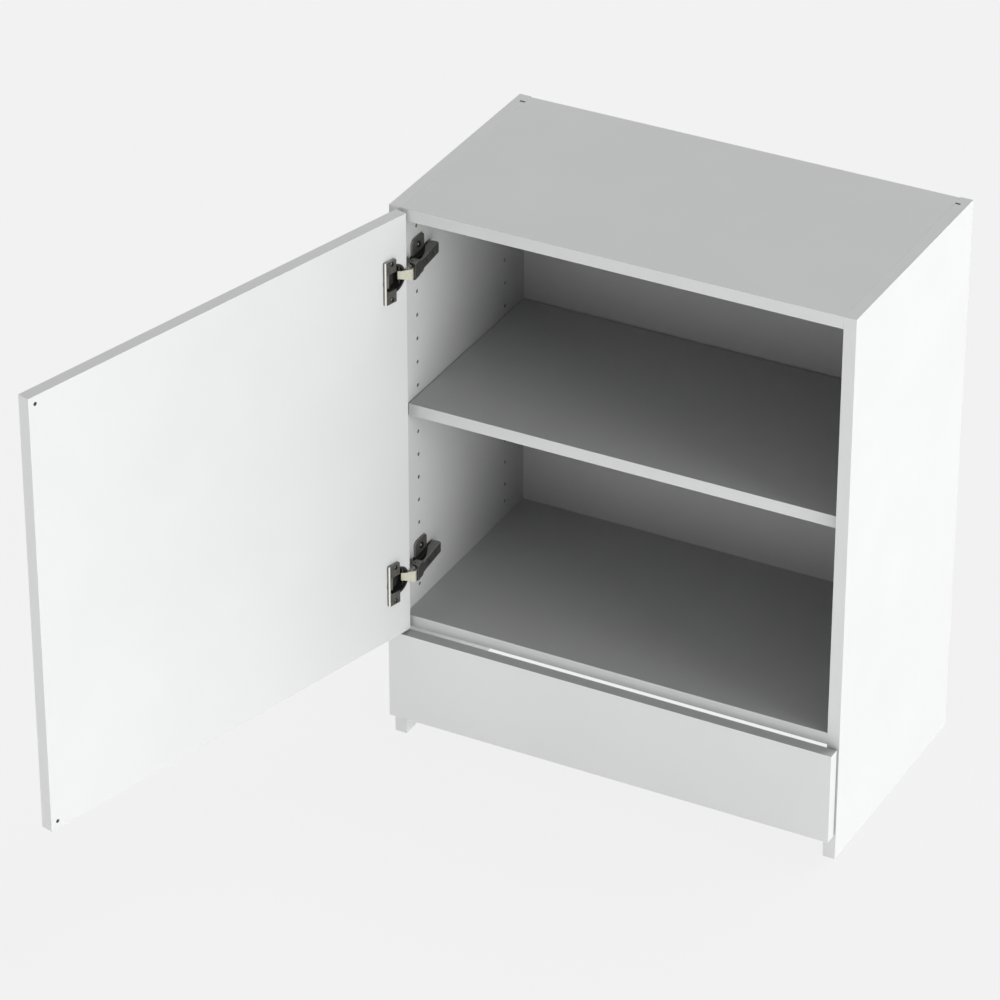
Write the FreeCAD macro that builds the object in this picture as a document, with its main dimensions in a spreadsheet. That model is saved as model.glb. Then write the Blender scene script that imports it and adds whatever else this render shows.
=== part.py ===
"""Base cabinet of white melamine board with one door on two concealed hinges, shown with the door open.

Frame: millimetres, +X to the cabinet's right, +Y to its back, +Z up.
The origin is on the floor under the middle of the carcass.
"""
import FreeCAD
import Part
import Sketcher
import math
import os

Vector = FreeCAD.Vector
Rotation = FreeCAD.Rotation
Placement = FreeCAD.Placement

doc = FreeCAD.newDocument("storage_cabinet")
sheet = doc.addObject("Spreadsheet::Sheet", "dims")

# Driving dimensions and what follows from them, in millimetres and degrees
DIMENSIONS = {
    # carcass
    "cabinet_width": 600,
    "cabinet_depth": 330,
    "cabinet_height": 736,
    "board": 16,
    "bottom_height": 160,
    "top_setback": 2,
    "inner_width": "=cabinet_width - 2 * board",
    "top_depth": "=cabinet_depth - top_setback",
    "front_y": "=-cabinet_depth / 2",
    # back panel in its groove
    "back_sheet": 3,
    "back_recess": 16,
    "groove_play": 0.2,
    "groove_depth": 7,
    "back_insert": 6,
    "back_front": "=cabinet_depth - back_recess - back_sheet",
    "groove_front": "=back_front - groove_play",
    "groove_width": "=back_sheet + 2 * groove_play",
    "back_width": "=inner_width + 2 * back_insert",
    "back_height": "=cabinet_height - board + back_insert - bottom_height",
    # rows of system holes
    "system_pitch": 32,
    "system_hole": 5,
    "system_hole_depth": 12,
    "system_count": 15,
    "system_middle": 447,
    "front_row": 37,
    "rear_row": "=front_row + 7 * system_pitch",
    "system_first": "=system_middle - 7 * system_pitch",
    "system_span": "=14 * system_pitch",
    "end_hole_reach": 248,
    "end_hole_low": "=system_middle - end_hole_reach",
    "end_hole_high": "=system_middle + end_hole_reach",
    # dowels, cams and their bolts in the corner joints
    "dowel_size": 8,
    "dowel_depth": 12,
    "dowel_front": 82,
    "dowel_rear": 248,
    "dowel_reach": 20,
    "dowel_end_play": 1,
    "bolt_front": 50,
    "bolt_rear": 280,
    "bolt_pilot": 5,
    "bolt_shank": 4.9,
    "bolt_body": 6,
    "bolt_bore": 8,
    "bolt_end_play": 1,
    "bolt_thread": "=system_hole_depth - bolt_end_play",
    "cam_size": 15,
    "cam_depth": 12.5,
    "cam_inset": 34,
    "cam_far": "=inner_width - cam_inset",
    "bolt_reach": "=cam_inset - bolt_end_play",
    "cam_play": 0.1,
    "cam_barrel": "=cam_size - 2 * cam_play",
    "cam_inlet_play": 0.2,
    "cam_inlet": "=bolt_body + 2 * cam_inlet_play",
    "half_board": "=board / 2",
    "top_joint": "=cabinet_height - board / 2",
    "bottom_joint": "=bottom_height + board / 2",
    # shelf on four pins
    "shelf_play": 1,
    "shelf_front": 12,
    "shelf_depth": 296,
    "shelf_width": "=inner_width - 2 * shelf_play",
    "pin_shank": 4.9,
    "pin_shank_length": 10,
    "pin_head": 7,
    "pin_head_length": 8,
    "shelf_height": "=system_middle + pin_head / 2",
    # plinth board on its two brackets
    "plinth_width": 596,
    "plinth_height": 123,
    "plinth_bottom": 34,
    "plinth_gap": 2,
    "bracket_leg": 34,
    "bracket_foot": 42,
    "bracket_height": 60,
    "bracket_bottom": 65,
    "bracket_screw": 3,
    "bracket_screw_pitch": 30,
    "bracket_hole": 3.6,
    "bracket_side_hole": 20,
    "bracket_front_hole": 22,
    "bracket_screw_low": "=bracket_bottom + (bracket_height - bracket_screw_pitch) / 2",
    "bracket_screw_high": "=bracket_screw_low + bracket_screw_pitch",
    # door, open as in the picture
    "door_width": 597,
    "door_height": 573,
    "door_bottom": "=system_middle - door_height / 2",
    "door_open_angle": 105,
    "door_corner_off": 10.2,
    "door_corner_front": 6.2,
    "bumper_hole": 5,
    "bumper_depth": 9,
    "bumper_inset": 10,
    "bumper_x": "=door_width - bumper_inset",
    "bumper_high": "=door_height - bumper_inset",
    # hinge heights
    "hinge_reach": "=6.5 * system_pitch",
    "hinge_low": "=system_middle - hinge_reach",
    "hinge_high": "=system_middle + hinge_reach",
    "hinge_low_on_door": "=hinge_low - door_bottom",
    "hinge_high_on_door": "=hinge_high - door_bottom",
    # hinge mounting plate on the side panel
    "plate_front": 22,
    "plate_back": 51.5,
    "plate_height": 53,
    "plate_sheet": 2.5,
    "plate_corner": 6,
    "plate_block_front": 20,
    "plate_block_back": 62,
    "plate_block_width": 12,
    "plate_block_height": 10,
    "plate_hole": 5.2,
    "plate_screw_head": 9,
    "plate_screw_head_height": 2.2,
    # hinge arm
    "arm_tip_off": 19.6,
    "arm_tip_front": 0.9,
    "arm_end_off": 13.6,
    "arm_end": 67.5,
    "arm_skirt_off": 3.5,
    "arm_slope": "=(arm_end_off - arm_tip_off) / (arm_end + arm_tip_front)",
    "arm_shoulder": 14,
    "arm_skirt_run": 4,
    "arm_lip": 0.6,
    "arm_chin": 2,
    "arm_open_reach": 6,
    "arm_width": 15.2,
    "arm_head_width": 22,
    "arm_wall": 1.4,
    "arm_corner": 1.6,
    "arm_edge": 1,
    "arm_cavity": "=arm_width - 2 * arm_wall",
    "arm_head_cavity": "=arm_head_width - 2 * arm_wall",
    "arm_pin_off": 12.07,
    "arm_pin_depth": 3.98,
    "arm_rivet": 0.6,
    "arm_pin_length": "=arm_head_width + 2 * arm_rivet",
    "adjuster_size": 4,
    "adjuster_hole": 4.2,
    "adjuster_front": 30,
    "adjuster_rear": 50,
    "adjuster_proud": 0.6,
    "adjuster_rise": "=arm_tip_off + arm_slope * arm_tip_front + adjuster_proud - plate_block_height",
    "adjuster_front_length": "=adjuster_rise + arm_slope * adjuster_front",
    "adjuster_rear_length": "=adjuster_rise + arm_slope * adjuster_rear",
    "adjuster_slot_depth": 1,
    "adjuster_slot_width": 0.8,
    "adjuster_slot_length": 5,
    # hinge link and its two pins
    "pin_size": 2.4,
    "pin_bore": 2.5,
    "link_width": 10.8,
    "link_wide": 15.6,
    "link_taper_off": 8,
    "link_taper_reach": 12,
    "link_cut": 60,
    "link_tail": 1.5,
    "link_strip": 1.5,
    "link_bend": 1.2,
    "link_face_angle": 28.9,
    "link_face_lead": 2.2,
    "link_elbow_off": 20.2,
    "link_arm_eye": 3.2,
    "link_root": 3.15,
    "link_leg_angle": 17.7,
    "link_heel_angle": 210.5,
    "link_cup_eye": 2.3,
    # hinge cup in the door
    "cup_pin_inset": 9.4,
    "cup_pin_sink": 3.6,
    "cup_pin_length": 22,
    "cup_inset": 21.5,
    "cup_bore": 35,
    "cup_bore_depth": 12.6,
    "cup_outer": 17.4,
    "cup_inner": 16.3,
    "cup_depth": 12.4,
    "cup_floor": 1.1,
    "cup_foot": 2,
    "cup_rim": 18.8,
    "cup_rim_sheet": 0.6,
    "flange_near": 21.3,
    "flange_far": 39.8,
    "flange_strip": 2.2,
    "flange_height": 56.4,
    "flange_sheet": 4,
    "flange_corner": 0.8,
    "cup_mouth": 23,
    "cup_mouth_corner": 3,
    "cup_notch_width": 12.4,
    "cup_notch_depth": 6.4,
    "cup_notch_reach": 5.5,
    "cup_notch_over": 1,
    "cup_screw_inset": 29,
    "cup_screw_pitch": 47,
    "cup_screw": 3.4,
    "cup_screw_hole": 3.5,
    "cup_screw_length": 9,
    "cup_screw_head": 6.4,
    "cup_screw_head_height": 1.2,
    "damper_near": 29.2,
    "damper_far": 34.9,
    "damper_width": 18,
    "damper_proud": 0.9,
    "damper_round": 2.4,
    # back panel screws
    "back_screw": 2.5,
    "back_screw_length": 15,
    "back_screw_head": 6,
    "back_screw_head_height": 1.5,
    "back_screw_hole": 2.6,
    "back_screw_pitch": 120,
}

for row, (name, content) in enumerate(DIMENSIONS.items(), start=1):
    sheet.set(f"A{row}", name)
    sheet.set(f"B{row}", str(content))
    sheet.setAlias(f"B{row}", name)
doc.recompute()


def dim(name):
    """The number that a cell of the sheet holds."""
    return float(sheet.get(name))


nodes = {}


def node(label, item):
    """Names a finished sub-part."""
    item.Label = label
    nodes[label] = item
    return item


# Sketches, pads and pockets

def new_body(name):
    return doc.addObject("PartDesign::Body", name)


def new_sketch(body, role, offset=None):
    """A sketch on one of the body's own origin planes, raised by a cell of the sheet where one is named."""
    sketch = body.newObject("Sketcher::SketchObject", body.Name + "_sketch")
    plane = next(item for item in body.Origin.OriginFeatures if item.Role == role)
    sketch.AttachmentSupport = (plane, [""])
    sketch.MapMode = "FlatFace"
    if offset:
        sketch.setExpression("AttachmentOffset.Base.z", "dims." + offset)
    return sketch


def bind(sketch, kind, targets, cell):
    """A dimension of the sketch that reads its value from a cell."""
    index = sketch.addConstraint(Sketcher.Constraint(kind, *targets, dim(cell)))
    name = f"{cell}_{index}"
    sketch.renameConstraint(index, name)
    sketch.setExpression("Constraints." + name, "dims." + cell)


def place_point(sketch, geometry, position, across, up):
    """Holds a point of the sketch at two cells' distances from its origin, or on an axis where none is named."""
    if across:
        bind(sketch, "DistanceX", (-1, 1, geometry, position), across)
    else:
        sketch.addConstraint(Sketcher.Constraint("PointOnObject", geometry, position, -2))
    if up:
        bind(sketch, "DistanceY", (-1, 1, geometry, position), up)
    else:
        sketch.addConstraint(Sketcher.Constraint("PointOnObject", geometry, position, -1))


def rectangle(sketch, width, height, across=None, up=None):
    """A rectangle with its lower left corner placed by two cells and its size read from two more."""
    x0 = dim(across) if across else 0.0
    y0 = dim(up) if up else 0.0
    x1 = x0 + dim(width)
    y1 = y0 + dim(height)
    corners = [Vector(x0, y0), Vector(x1, y0), Vector(x1, y1), Vector(x0, y1)]
    first = sketch.GeometryCount
    for start, end in zip(corners, corners[1:] + corners[:1]):
        sketch.addGeometry(Part.LineSegment(start, end))
    for side in range(4):
        following = first + (side + 1) % 4
        sketch.addConstraint(Sketcher.Constraint("Coincident", first + side, 2, following, 1))
    for side, kind in enumerate(("Horizontal", "Vertical", "Horizontal", "Vertical")):
        sketch.addConstraint(Sketcher.Constraint(kind, first + side))
    bind(sketch, "DistanceX", (first, 1, first, 2), width)
    bind(sketch, "DistanceY", (first + 1, 1, first + 1, 2), height)
    place_point(sketch, first, 1, across, up)


def circle(sketch, size, across=None, up=None):
    """A circle whose diameter and centre are read from cells."""
    x = dim(across) if across else 0.0
    y = dim(up) if up else 0.0
    index = sketch.addGeometry(Part.Circle(Vector(x, y), Vector(0, 0, 1), dim(size) / 2))
    bind(sketch, "Diameter", (index,), size)
    place_point(sketch, index, 3, across, up)


def polygon(sketch, points):
    """A closed outline through points worked out from the sheet."""
    corners = [Vector(x, y) for x, y in points]
    first = sketch.GeometryCount
    count = len(corners)
    for start, end in zip(corners, corners[1:] + corners[:1]):
        sketch.addGeometry(Part.LineSegment(start, end))
    for side in range(count):
        following = first + (side + 1) % count
        sketch.addConstraint(Sketcher.Constraint("Coincident", first + side, 2, following, 1))


def disc(sketch, x, y, size):
    """A circle at a point worked out from the sheet, with its diameter read from a cell."""
    index = sketch.addGeometry(Part.Circle(Vector(x, y), Vector(0, 0, 1), dim(size) / 2))
    bind(sketch, "Diameter", (index,), size)


def pad(body, sketch, length, middle=False, flip=False):
    feature = body.newObject("PartDesign::Pad", body.Name + "_pad")
    feature.Profile = sketch
    feature.setExpression("Length", "dims." + length)
    feature.Midplane = middle
    feature.Reversed = flip
    doc.recompute()
    return feature


def pocket(body, sketch, length, middle=False, flip=False):
    """Cuts the sketch's outline to a depth, and makes sure that the cut met the solid."""
    before = body.Shape.Volume
    feature = body.newObject("PartDesign::Pocket", body.Name + "_pocket")
    feature.Profile = sketch
    feature.setExpression("Length", "dims." + length)
    feature.Midplane = middle
    feature.Reversed = flip
    doc.recompute()
    if body.Shape.Volume >= before:
        raise RuntimeError(f"{body.Name}: a pocket cut nothing")
    return feature


def repeat_upwards(body, feature, sketch, span, count):
    """Repeats a pocket along the sketch's vertical axis over a span, to a number of places."""
    pattern = body.newObject("PartDesign::LinearPattern", body.Name + "_pattern")
    pattern.Originals = [feature]
    pattern.Direction = (sketch, ["V_Axis"])
    pattern.setExpression("Length", "dims." + span)
    pattern.setExpression("Occurrences", "dims." + count)
    body.Tip = pattern
    doc.recompute()
    return pattern


PARALLEL = 0.99


def edges_along(body, axis):
    """Names of the body's straight edges that run along an axis."""
    names = []
    for index, edge in enumerate(body.Shape.Edges, start=1):
        if abs(edge.tangentAt(edge.FirstParameter).dot(axis)) > PARALLEL:
            names.append(f"Edge{index}")
    return names


def edges_where(body, test, axis):
    """Names of the edges along an axis whose middle passes a test."""
    return [name for name in edges_along(body, axis) if test(body.Shape.getElement(name).CenterOfMass)]


def fillet(body, edges, radius):
    """Rounds named edges of the body's last feature."""
    last = body.Tip
    feature = body.newObject("PartDesign::Fillet", body.Name + "_fillet")
    feature.Base = (last, edges)
    feature.setExpression("Radius", "dims." + radius)
    doc.recompute()
    return feature


# Loose solids in groups

def cylinder(size, length, start, axis):
    """A round bar from a point along an axis, with its size and length read from cells."""
    bar = doc.addObject("Part::Cylinder", "bar")
    bar.setExpression("Radius", f"dims.{size} / 2")
    bar.setExpression("Height", "dims." + length)
    bar.Placement = Placement(start, Rotation(Vector(0, 0, 1), axis))
    return bar


def fused(pieces):
    joined = doc.addObject("Part::MultiFuse", "joined")
    joined.Shapes = pieces
    return joined


def group(label, pieces):
    """Like pieces kept as separate solids under one name."""
    together = doc.addObject("Part::Compound", label)
    together.Links = pieces
    return node(label, together)


def headed_pin(shank, shank_length, head, head_length, seat, outward):
    """A pin or screw with its head's underside on the seat and its shank going inwards."""
    bar = cylinder(shank, shank_length, seat, -outward)
    cap = cylinder(head, head_length, seat, outward)
    return fused([bar, cap])


# Places that several pieces share
FRONT = dim("front_y")
HALF_WIDTH = dim("cabinet_width") / 2
INNER = dim("inner_width") / 2
BOARD = dim("board")
ALONG_X = Vector(1, 0, 0)
ALONG_Y = Vector(0, 1, 0)
ALONG_Z = Vector(0, 0, 1)
SIDES = {"left": -1, "right": 1}
HINGES = {"upper": "hinge_high", "lower": "hinge_low"}


def from_front(x, depth, z):
    """A point given by its depth behind the carcass front."""
    return Vector(x, FRONT + depth, z)


# Carcass panels

def side_panel(name, side):
    """An upright that stands on the floor, with system holes, joint holes and the back's groove inside."""
    body = new_body(f"{name}_side_panel")
    face = new_sketch(body, "YZ_Plane")
    rectangle(face, "cabinet_depth", "cabinet_height")
    pad(body, face, "board")
    inside = "board" if side < 0 else None
    flip = side > 0

    rows = new_sketch(body, "YZ_Plane", inside)
    for row in ("front_row", "rear_row"):
        circle(rows, "system_hole", row, "system_first")
    first = pocket(body, rows, "system_hole_depth", flip=flip)
    repeat_upwards(body, first, rows, "system_span", "system_count")

    ends = new_sketch(body, "YZ_Plane", inside)
    for row in ("front_row", "rear_row"):
        for height in ("end_hole_low", "end_hole_high"):
            circle(ends, "system_hole", row, height)
    pocket(body, ends, "system_hole_depth", flip=flip)

    groove = new_sketch(body, "YZ_Plane", inside)
    rectangle(groove, "groove_width", "cabinet_height", across="groove_front")
    pocket(body, groove, "groove_depth", flip=flip)

    joints = new_sketch(body, "YZ_Plane", inside)
    for height in ("top_joint", "bottom_joint"):
        for depth in ("dowel_front", "dowel_rear"):
            circle(joints, "dowel_size", depth, height)
        for depth in ("bolt_front", "bolt_rear"):
            circle(joints, "bolt_pilot", depth, height)
    pocket(body, joints, "dowel_depth", flip=flip)

    bracket = new_sketch(body, "YZ_Plane", inside)
    for height in ("bracket_screw_low", "bracket_screw_high"):
        circle(bracket, "bracket_screw", "bracket_side_hole", height)
    pocket(body, bracket, "system_hole_depth", flip=flip)

    x = -HALF_WIDTH if side < 0 else INNER
    body.Placement.Base = from_front(x, 0, 0)
    return node(f"{name}_side_panel", body)


def level_panel(label, depth, height, grooved):
    """The top or bottom, held between the sides by dowels and by cams let into its underside."""
    body = new_body(label)
    face = new_sketch(body, "XY_Plane")
    rectangle(face, "inner_width", depth)
    pad(body, face, "board")

    for offset, flip in ((None, True), ("inner_width", False)):
        bores = new_sketch(body, "YZ_Plane", offset)
        for place in ("bolt_front", "bolt_rear"):
            circle(bores, "bolt_bore", place, "half_board")
        pocket(body, bores, "cam_inset", flip=flip)
        holes = new_sketch(body, "YZ_Plane", offset)
        for place in ("dowel_front", "dowel_rear"):
            circle(holes, "dowel_size", place, "half_board")
        pocket(body, holes, "dowel_reach", flip=flip)

    cams = new_sketch(body, "XY_Plane")
    for across in ("cam_inset", "cam_far"):
        for place in ("bolt_front", "bolt_rear"):
            circle(cams, "cam_size", across, place)
    pocket(body, cams, "cam_depth", flip=True)

    if grooved:
        groove = new_sketch(body, "XY_Plane")
        rectangle(groove, "inner_width", "groove_width", up="groove_front")
        pocket(body, groove, "groove_depth", flip=True)

    body.Placement.Base = from_front(-INNER, 0, height)
    return node(label, body)


def back_panel():
    """A thin sheet that slides in the sides' grooves and closes the back."""
    body = new_body("back_panel")
    face = new_sketch(body, "XZ_Plane")
    rectangle(face, "back_width", "back_height")
    pad(body, face, "back_sheet")
    screws = new_sketch(body, "XZ_Plane")
    for x in back_screw_places():
        disc(screws, x + dim("back_width") / 2, BOARD / 2, "back_screw_hole")
    pocket(body, screws, "back_sheet", flip=True)
    depth = dim("back_front") + dim("back_sheet")
    body.Placement.Base = from_front(-dim("back_width") / 2, depth, dim("bottom_height"))
    return node("back_panel", body)


def back_screw_places():
    """Where the small screws go through the back into the bottom panel's rear edge."""
    return [step * dim("back_screw_pitch") for step in (-2, -1, 0, 1, 2)]


def adjustable_shelf():
    body = new_body("adjustable_shelf")
    face = new_sketch(body, "XY_Plane")
    rectangle(face, "shelf_width", "shelf_depth")
    pad(body, face, "board")
    body.Placement.Base = from_front(-dim("shelf_width") / 2, dim("shelf_front"), dim("shelf_height"))
    return node("adjustable_shelf", body)


for side_name, side_sign in SIDES.items():
    side_panel(side_name, side_sign)
level_panel("top_panel", "top_depth", dim("cabinet_height") - BOARD, grooved=True)
bottom_panel = level_panel("bottom_panel", "back_front", dim("bottom_height"), grooved=False)
rear_edge = new_sketch(bottom_panel, "XZ_Plane")
rear_edge.setExpression("AttachmentOffset.Base.z", "-dims.back_front")
for place in back_screw_places():
    disc(rear_edge, place + INNER, BOARD / 2, "back_screw_hole")
pocket(bottom_panel, rear_edge, "back_screw_length", flip=True)
back_panel()
adjustable_shelf()


# Corner joints, shelf pins and back screws

def joint_heights():
    return (dim("top_joint"), dim("bottom_joint"))


def dowels():
    """Round wooden dowels, each half in a side panel and half in the top or bottom."""
    pieces = []
    for sign in SIDES.values():
        for height in joint_heights():
            for place in ("dowel_front", "dowel_rear"):
                reach = INNER + dim("dowel_depth") - dim("dowel_end_play")
                start = from_front(sign * reach, dim(place), height)
                pieces.append(cylinder("dowel_size", "dowel_reach", start, -sign * ALONG_X))
    return group("corner_dowels", pieces)


def cam_bolts():
    """Bolts screwed into the sides, whose bodies reach to the cams in the top and bottom."""
    pieces = []
    for sign in SIDES.values():
        for height in joint_heights():
            for place in ("bolt_front", "bolt_rear"):
                seat = from_front(sign * INNER, dim(place), height)
                thread = cylinder("bolt_shank", "bolt_thread", seat, sign * ALONG_X)
                body = cylinder("bolt_body", "bolt_reach", seat, -sign * ALONG_X)
                pieces.append(fused([thread, body]))
    return group("cam_bolts", pieces)


def cams():
    """Round cam locks let in from below, each open on one side for its bolt."""
    pieces = []
    drop = dim("half_board")
    for sign in SIDES.values():
        for height in joint_heights():
            for place in ("bolt_front", "bolt_rear"):
                x = sign * (INNER - dim("cam_inset"))
                base = from_front(x, dim(place), height - drop)
                barrel = cylinder("cam_barrel", "cam_depth", base, ALONG_Z)
                inlet = cylinder("cam_inlet", "cam_size", from_front(x, dim(place), height), sign * ALONG_X)
                cam = doc.addObject("Part::Cut", "cam")
                cam.Base = barrel
                cam.Tool = inlet
                pieces.append(cam)
    return group("cam_locks", pieces)


def shelf_pins():
    """Four pins in the middle system holes, whose heads carry the shelf."""
    pieces = []
    for sign in SIDES.values():
        for row in ("front_row", "rear_row"):
            seat = from_front(sign * INNER, dim(row), dim("system_middle"))
            pieces.append(headed_pin("pin_shank", "pin_shank_length", "pin_head", "pin_head_length",
                                     seat, -sign * ALONG_X))
    return group("shelf_pins", pieces)


def back_screws():
    pieces = []
    depth = dim("back_front") + dim("back_sheet")
    for x in back_screw_places():
        seat = from_front(x, depth, dim("bottom_joint"))
        pieces.append(headed_pin("back_screw", "back_screw_length", "back_screw_head",
                                 "back_screw_head_height", seat, ALONG_Y))
    return group("back_panel_screws", pieces)


dowels()
cam_bolts()
cams()
shelf_pins()
back_screws()


# Plinth board and its brackets

def plinth_board():
    """A low board in the door's plane that leaves a gap for air above and below it."""
    body = new_body("plinth_board")
    face = new_sketch(body, "XZ_Plane")
    rectangle(face, "plinth_width", "plinth_height")
    pad(body, face, "board")
    screws = new_sketch(body, "XZ_Plane")
    for sign in SIDES.values():
        x = dim("plinth_width") / 2 + sign * (INNER - dim("bracket_front_hole"))
        for height in ("bracket_screw_low", "bracket_screw_high"):
            disc(screws, x, dim(height) - dim("plinth_bottom"), "bracket_screw")
    pocket(body, screws, "system_hole_depth", flip=True)
    body.Placement.Base = from_front(-dim("plinth_width") / 2, -dim("plinth_gap"), dim("plinth_bottom"))
    return node("plinth_board", body)


def plinth_bracket(name, sign):
    """An angle of sheet steel that holds the plinth board off a side panel's front edge."""
    body = new_body(f"{name}_plinth_bracket")
    leg = dim("bracket_leg")
    foot = dim("bracket_foot")
    sheet_steel = dim("plinth_gap")
    corner = [(0, 0), (leg, 0), (leg, sheet_steel), (sheet_steel, sheet_steel), (sheet_steel, foot), (0, foot)]
    profile = new_sketch(body, "XY_Plane")
    polygon(profile, [(-sign * x, y) for x, y in corner])
    pad(body, profile, "bracket_height")
    rise = dim("bracket_bottom")
    heights = [dim(cell) - rise for cell in ("bracket_screw_low", "bracket_screw_high")]
    front_holes = new_sketch(body, "XZ_Plane")
    side_holes = new_sketch(body, "YZ_Plane")
    for height in heights:
        disc(front_holes, -sign * dim("bracket_front_hole"), height, "bracket_hole")
        disc(side_holes, dim("bracket_side_hole") + sheet_steel, height, "bracket_hole")
    pocket(body, front_holes, "bracket_leg", middle=True)
    pocket(body, side_holes, "bracket_leg", middle=True)
    body.Placement.Base = from_front(sign * INNER, -sheet_steel, rise)
    return node(f"{name}_plinth_bracket", body)


def bracket_screws():
    """Round-headed screws through the brackets into the sides and the plinth."""
    pieces = []
    sheet_steel = dim("plinth_gap")
    for sign in SIDES.values():
        for cell in ("bracket_screw_low", "bracket_screw_high"):
            side_seat = from_front(sign * (INNER - sheet_steel), dim("bracket_side_hole"), dim(cell))
            front_seat = from_front(sign * (INNER - dim("bracket_front_hole")), 0, dim(cell))
            for seat, outward in ((side_seat, -sign * ALONG_X), (front_seat, ALONG_Y)):
                screw = headed_pin("bracket_screw", "system_hole_depth", "cup_screw_head",
                                   "plinth_gap", seat, outward)
                pieces.append(screw)
    return group("plinth_bracket_screws", pieces)


plinth_board()
for side_name, side_sign in SIDES.items():
    plinth_bracket(side_name, side_sign)
bracket_screws()


# Door

DOOR_TURN = Rotation(ALONG_Z, -dim("door_open_angle"))
DOOR_CORNER = from_front(-INNER + dim("door_corner_off"), -dim("door_corner_front"), 0)


def on_door(inset, height):
    """Placement of a piece carried by the open door, at an inset from its hinge edge and a height."""
    return Placement(DOOR_CORNER + DOOR_TURN.multVec(Vector(inset, 0, 0)) + Vector(0, 0, height), DOOR_TURN)


def door_panel():
    """The door leaf with bores for the hinge cups and two blind holes for bumpers by its free edge."""
    body = new_body("door_panel")
    face = new_sketch(body, "XZ_Plane")
    rectangle(face, "door_width", "door_height")
    pad(body, face, "board")
    cups = new_sketch(body, "XZ_Plane")
    for height in ("hinge_low_on_door", "hinge_high_on_door"):
        circle(cups, "cup_bore", "cup_inset", height)
    pocket(body, cups, "cup_bore_depth", flip=True)
    screws = new_sketch(body, "XZ_Plane")
    for height in ("hinge_low_on_door", "hinge_high_on_door"):
        for side in (-1, 1):
            disc(screws, dim("cup_screw_inset"), dim(height) + side * dim("cup_screw_pitch") / 2, "cup_screw_hole")
    pocket(body, screws, "cup_screw_length", flip=True)
    bumpers = new_sketch(body, "XZ_Plane")
    for height in ("bumper_inset", "bumper_high"):
        circle(bumpers, "bumper_hole", "bumper_x", height)
    pocket(body, bumpers, "bumper_depth", flip=True)
    body.Placement = on_door(0, dim("door_bottom"))
    return node("door_panel", body)


door_panel()


# Concealed hinges
# A hinge's own frame: x is the distance off the side panel, y the depth behind the carcass front

ARM_PIN = (dim("arm_pin_off"), dim("arm_pin_depth"))


def in_hinge_frame(point, height):
    return from_front(-INNER, 0, height) + point


def to_hinge_frame(inset, sink):
    """Where a point of the open door lies, by its inset from the hinge edge and its depth in the board."""
    point = DOOR_CORNER + DOOR_TURN.multVec(Vector(inset, -sink, 0)) - from_front(-INNER, 0, 0)
    return (point.x, point.y)


CUP_PIN = to_hinge_frame(dim("cup_pin_inset"), dim("cup_pin_sink"))


def web_off(depth):
    """How far the arm's back stands off the side panel at a depth."""
    return dim("arm_tip_off") + dim("arm_slope") * (depth + dim("arm_tip_front"))


def mounting_plate(name, height):
    """A winged plate screwed to two system holes, with the block that the arm clips over."""
    body = new_body(f"{name}_hinge_mounting_plate")
    half = dim("plate_height") / 2
    base = new_sketch(body, "YZ_Plane")
    polygon(base, [(dim("plate_front"), -half), (dim("plate_back"), -half),
                   (dim("plate_back"), half), (dim("plate_front"), half)])
    pad(body, base, "plate_sheet")
    fillet(body, edges_along(body, ALONG_X), "plate_corner")
    width = dim("plate_block_width") / 2
    block = new_sketch(body, "YZ_Plane")
    polygon(block, [(dim("plate_block_front"), -width), (dim("plate_block_back"), -width),
                    (dim("plate_block_back"), width), (dim("plate_block_front"), width)])
    pad(body, block, "plate_block_height")
    holes = new_sketch(body, "YZ_Plane")
    for side in (-1, 1):
        disc(holes, dim("front_row"), side * dim("system_pitch") / 2, "plate_hole")
    pocket(body, holes, "plate_block_height", flip=True)
    body.Placement.Base = in_hinge_frame(Vector(0, 0, 0), height)
    return node(f"{name}_hinge_mounting_plate", body)


def plate_screws(name, height):
    pieces = []
    for side in (-1, 1):
        seat = in_hinge_frame(Vector(dim("plate_sheet"), dim("front_row"), side * dim("system_pitch") / 2), height)
        pieces.append(headed_pin("bolt_shank", "system_hole_depth", "plate_screw_head",
                                 "plate_screw_head_height", seat, ALONG_X))
    return group(f"{name}_hinge_plate_screws", pieces)


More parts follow.
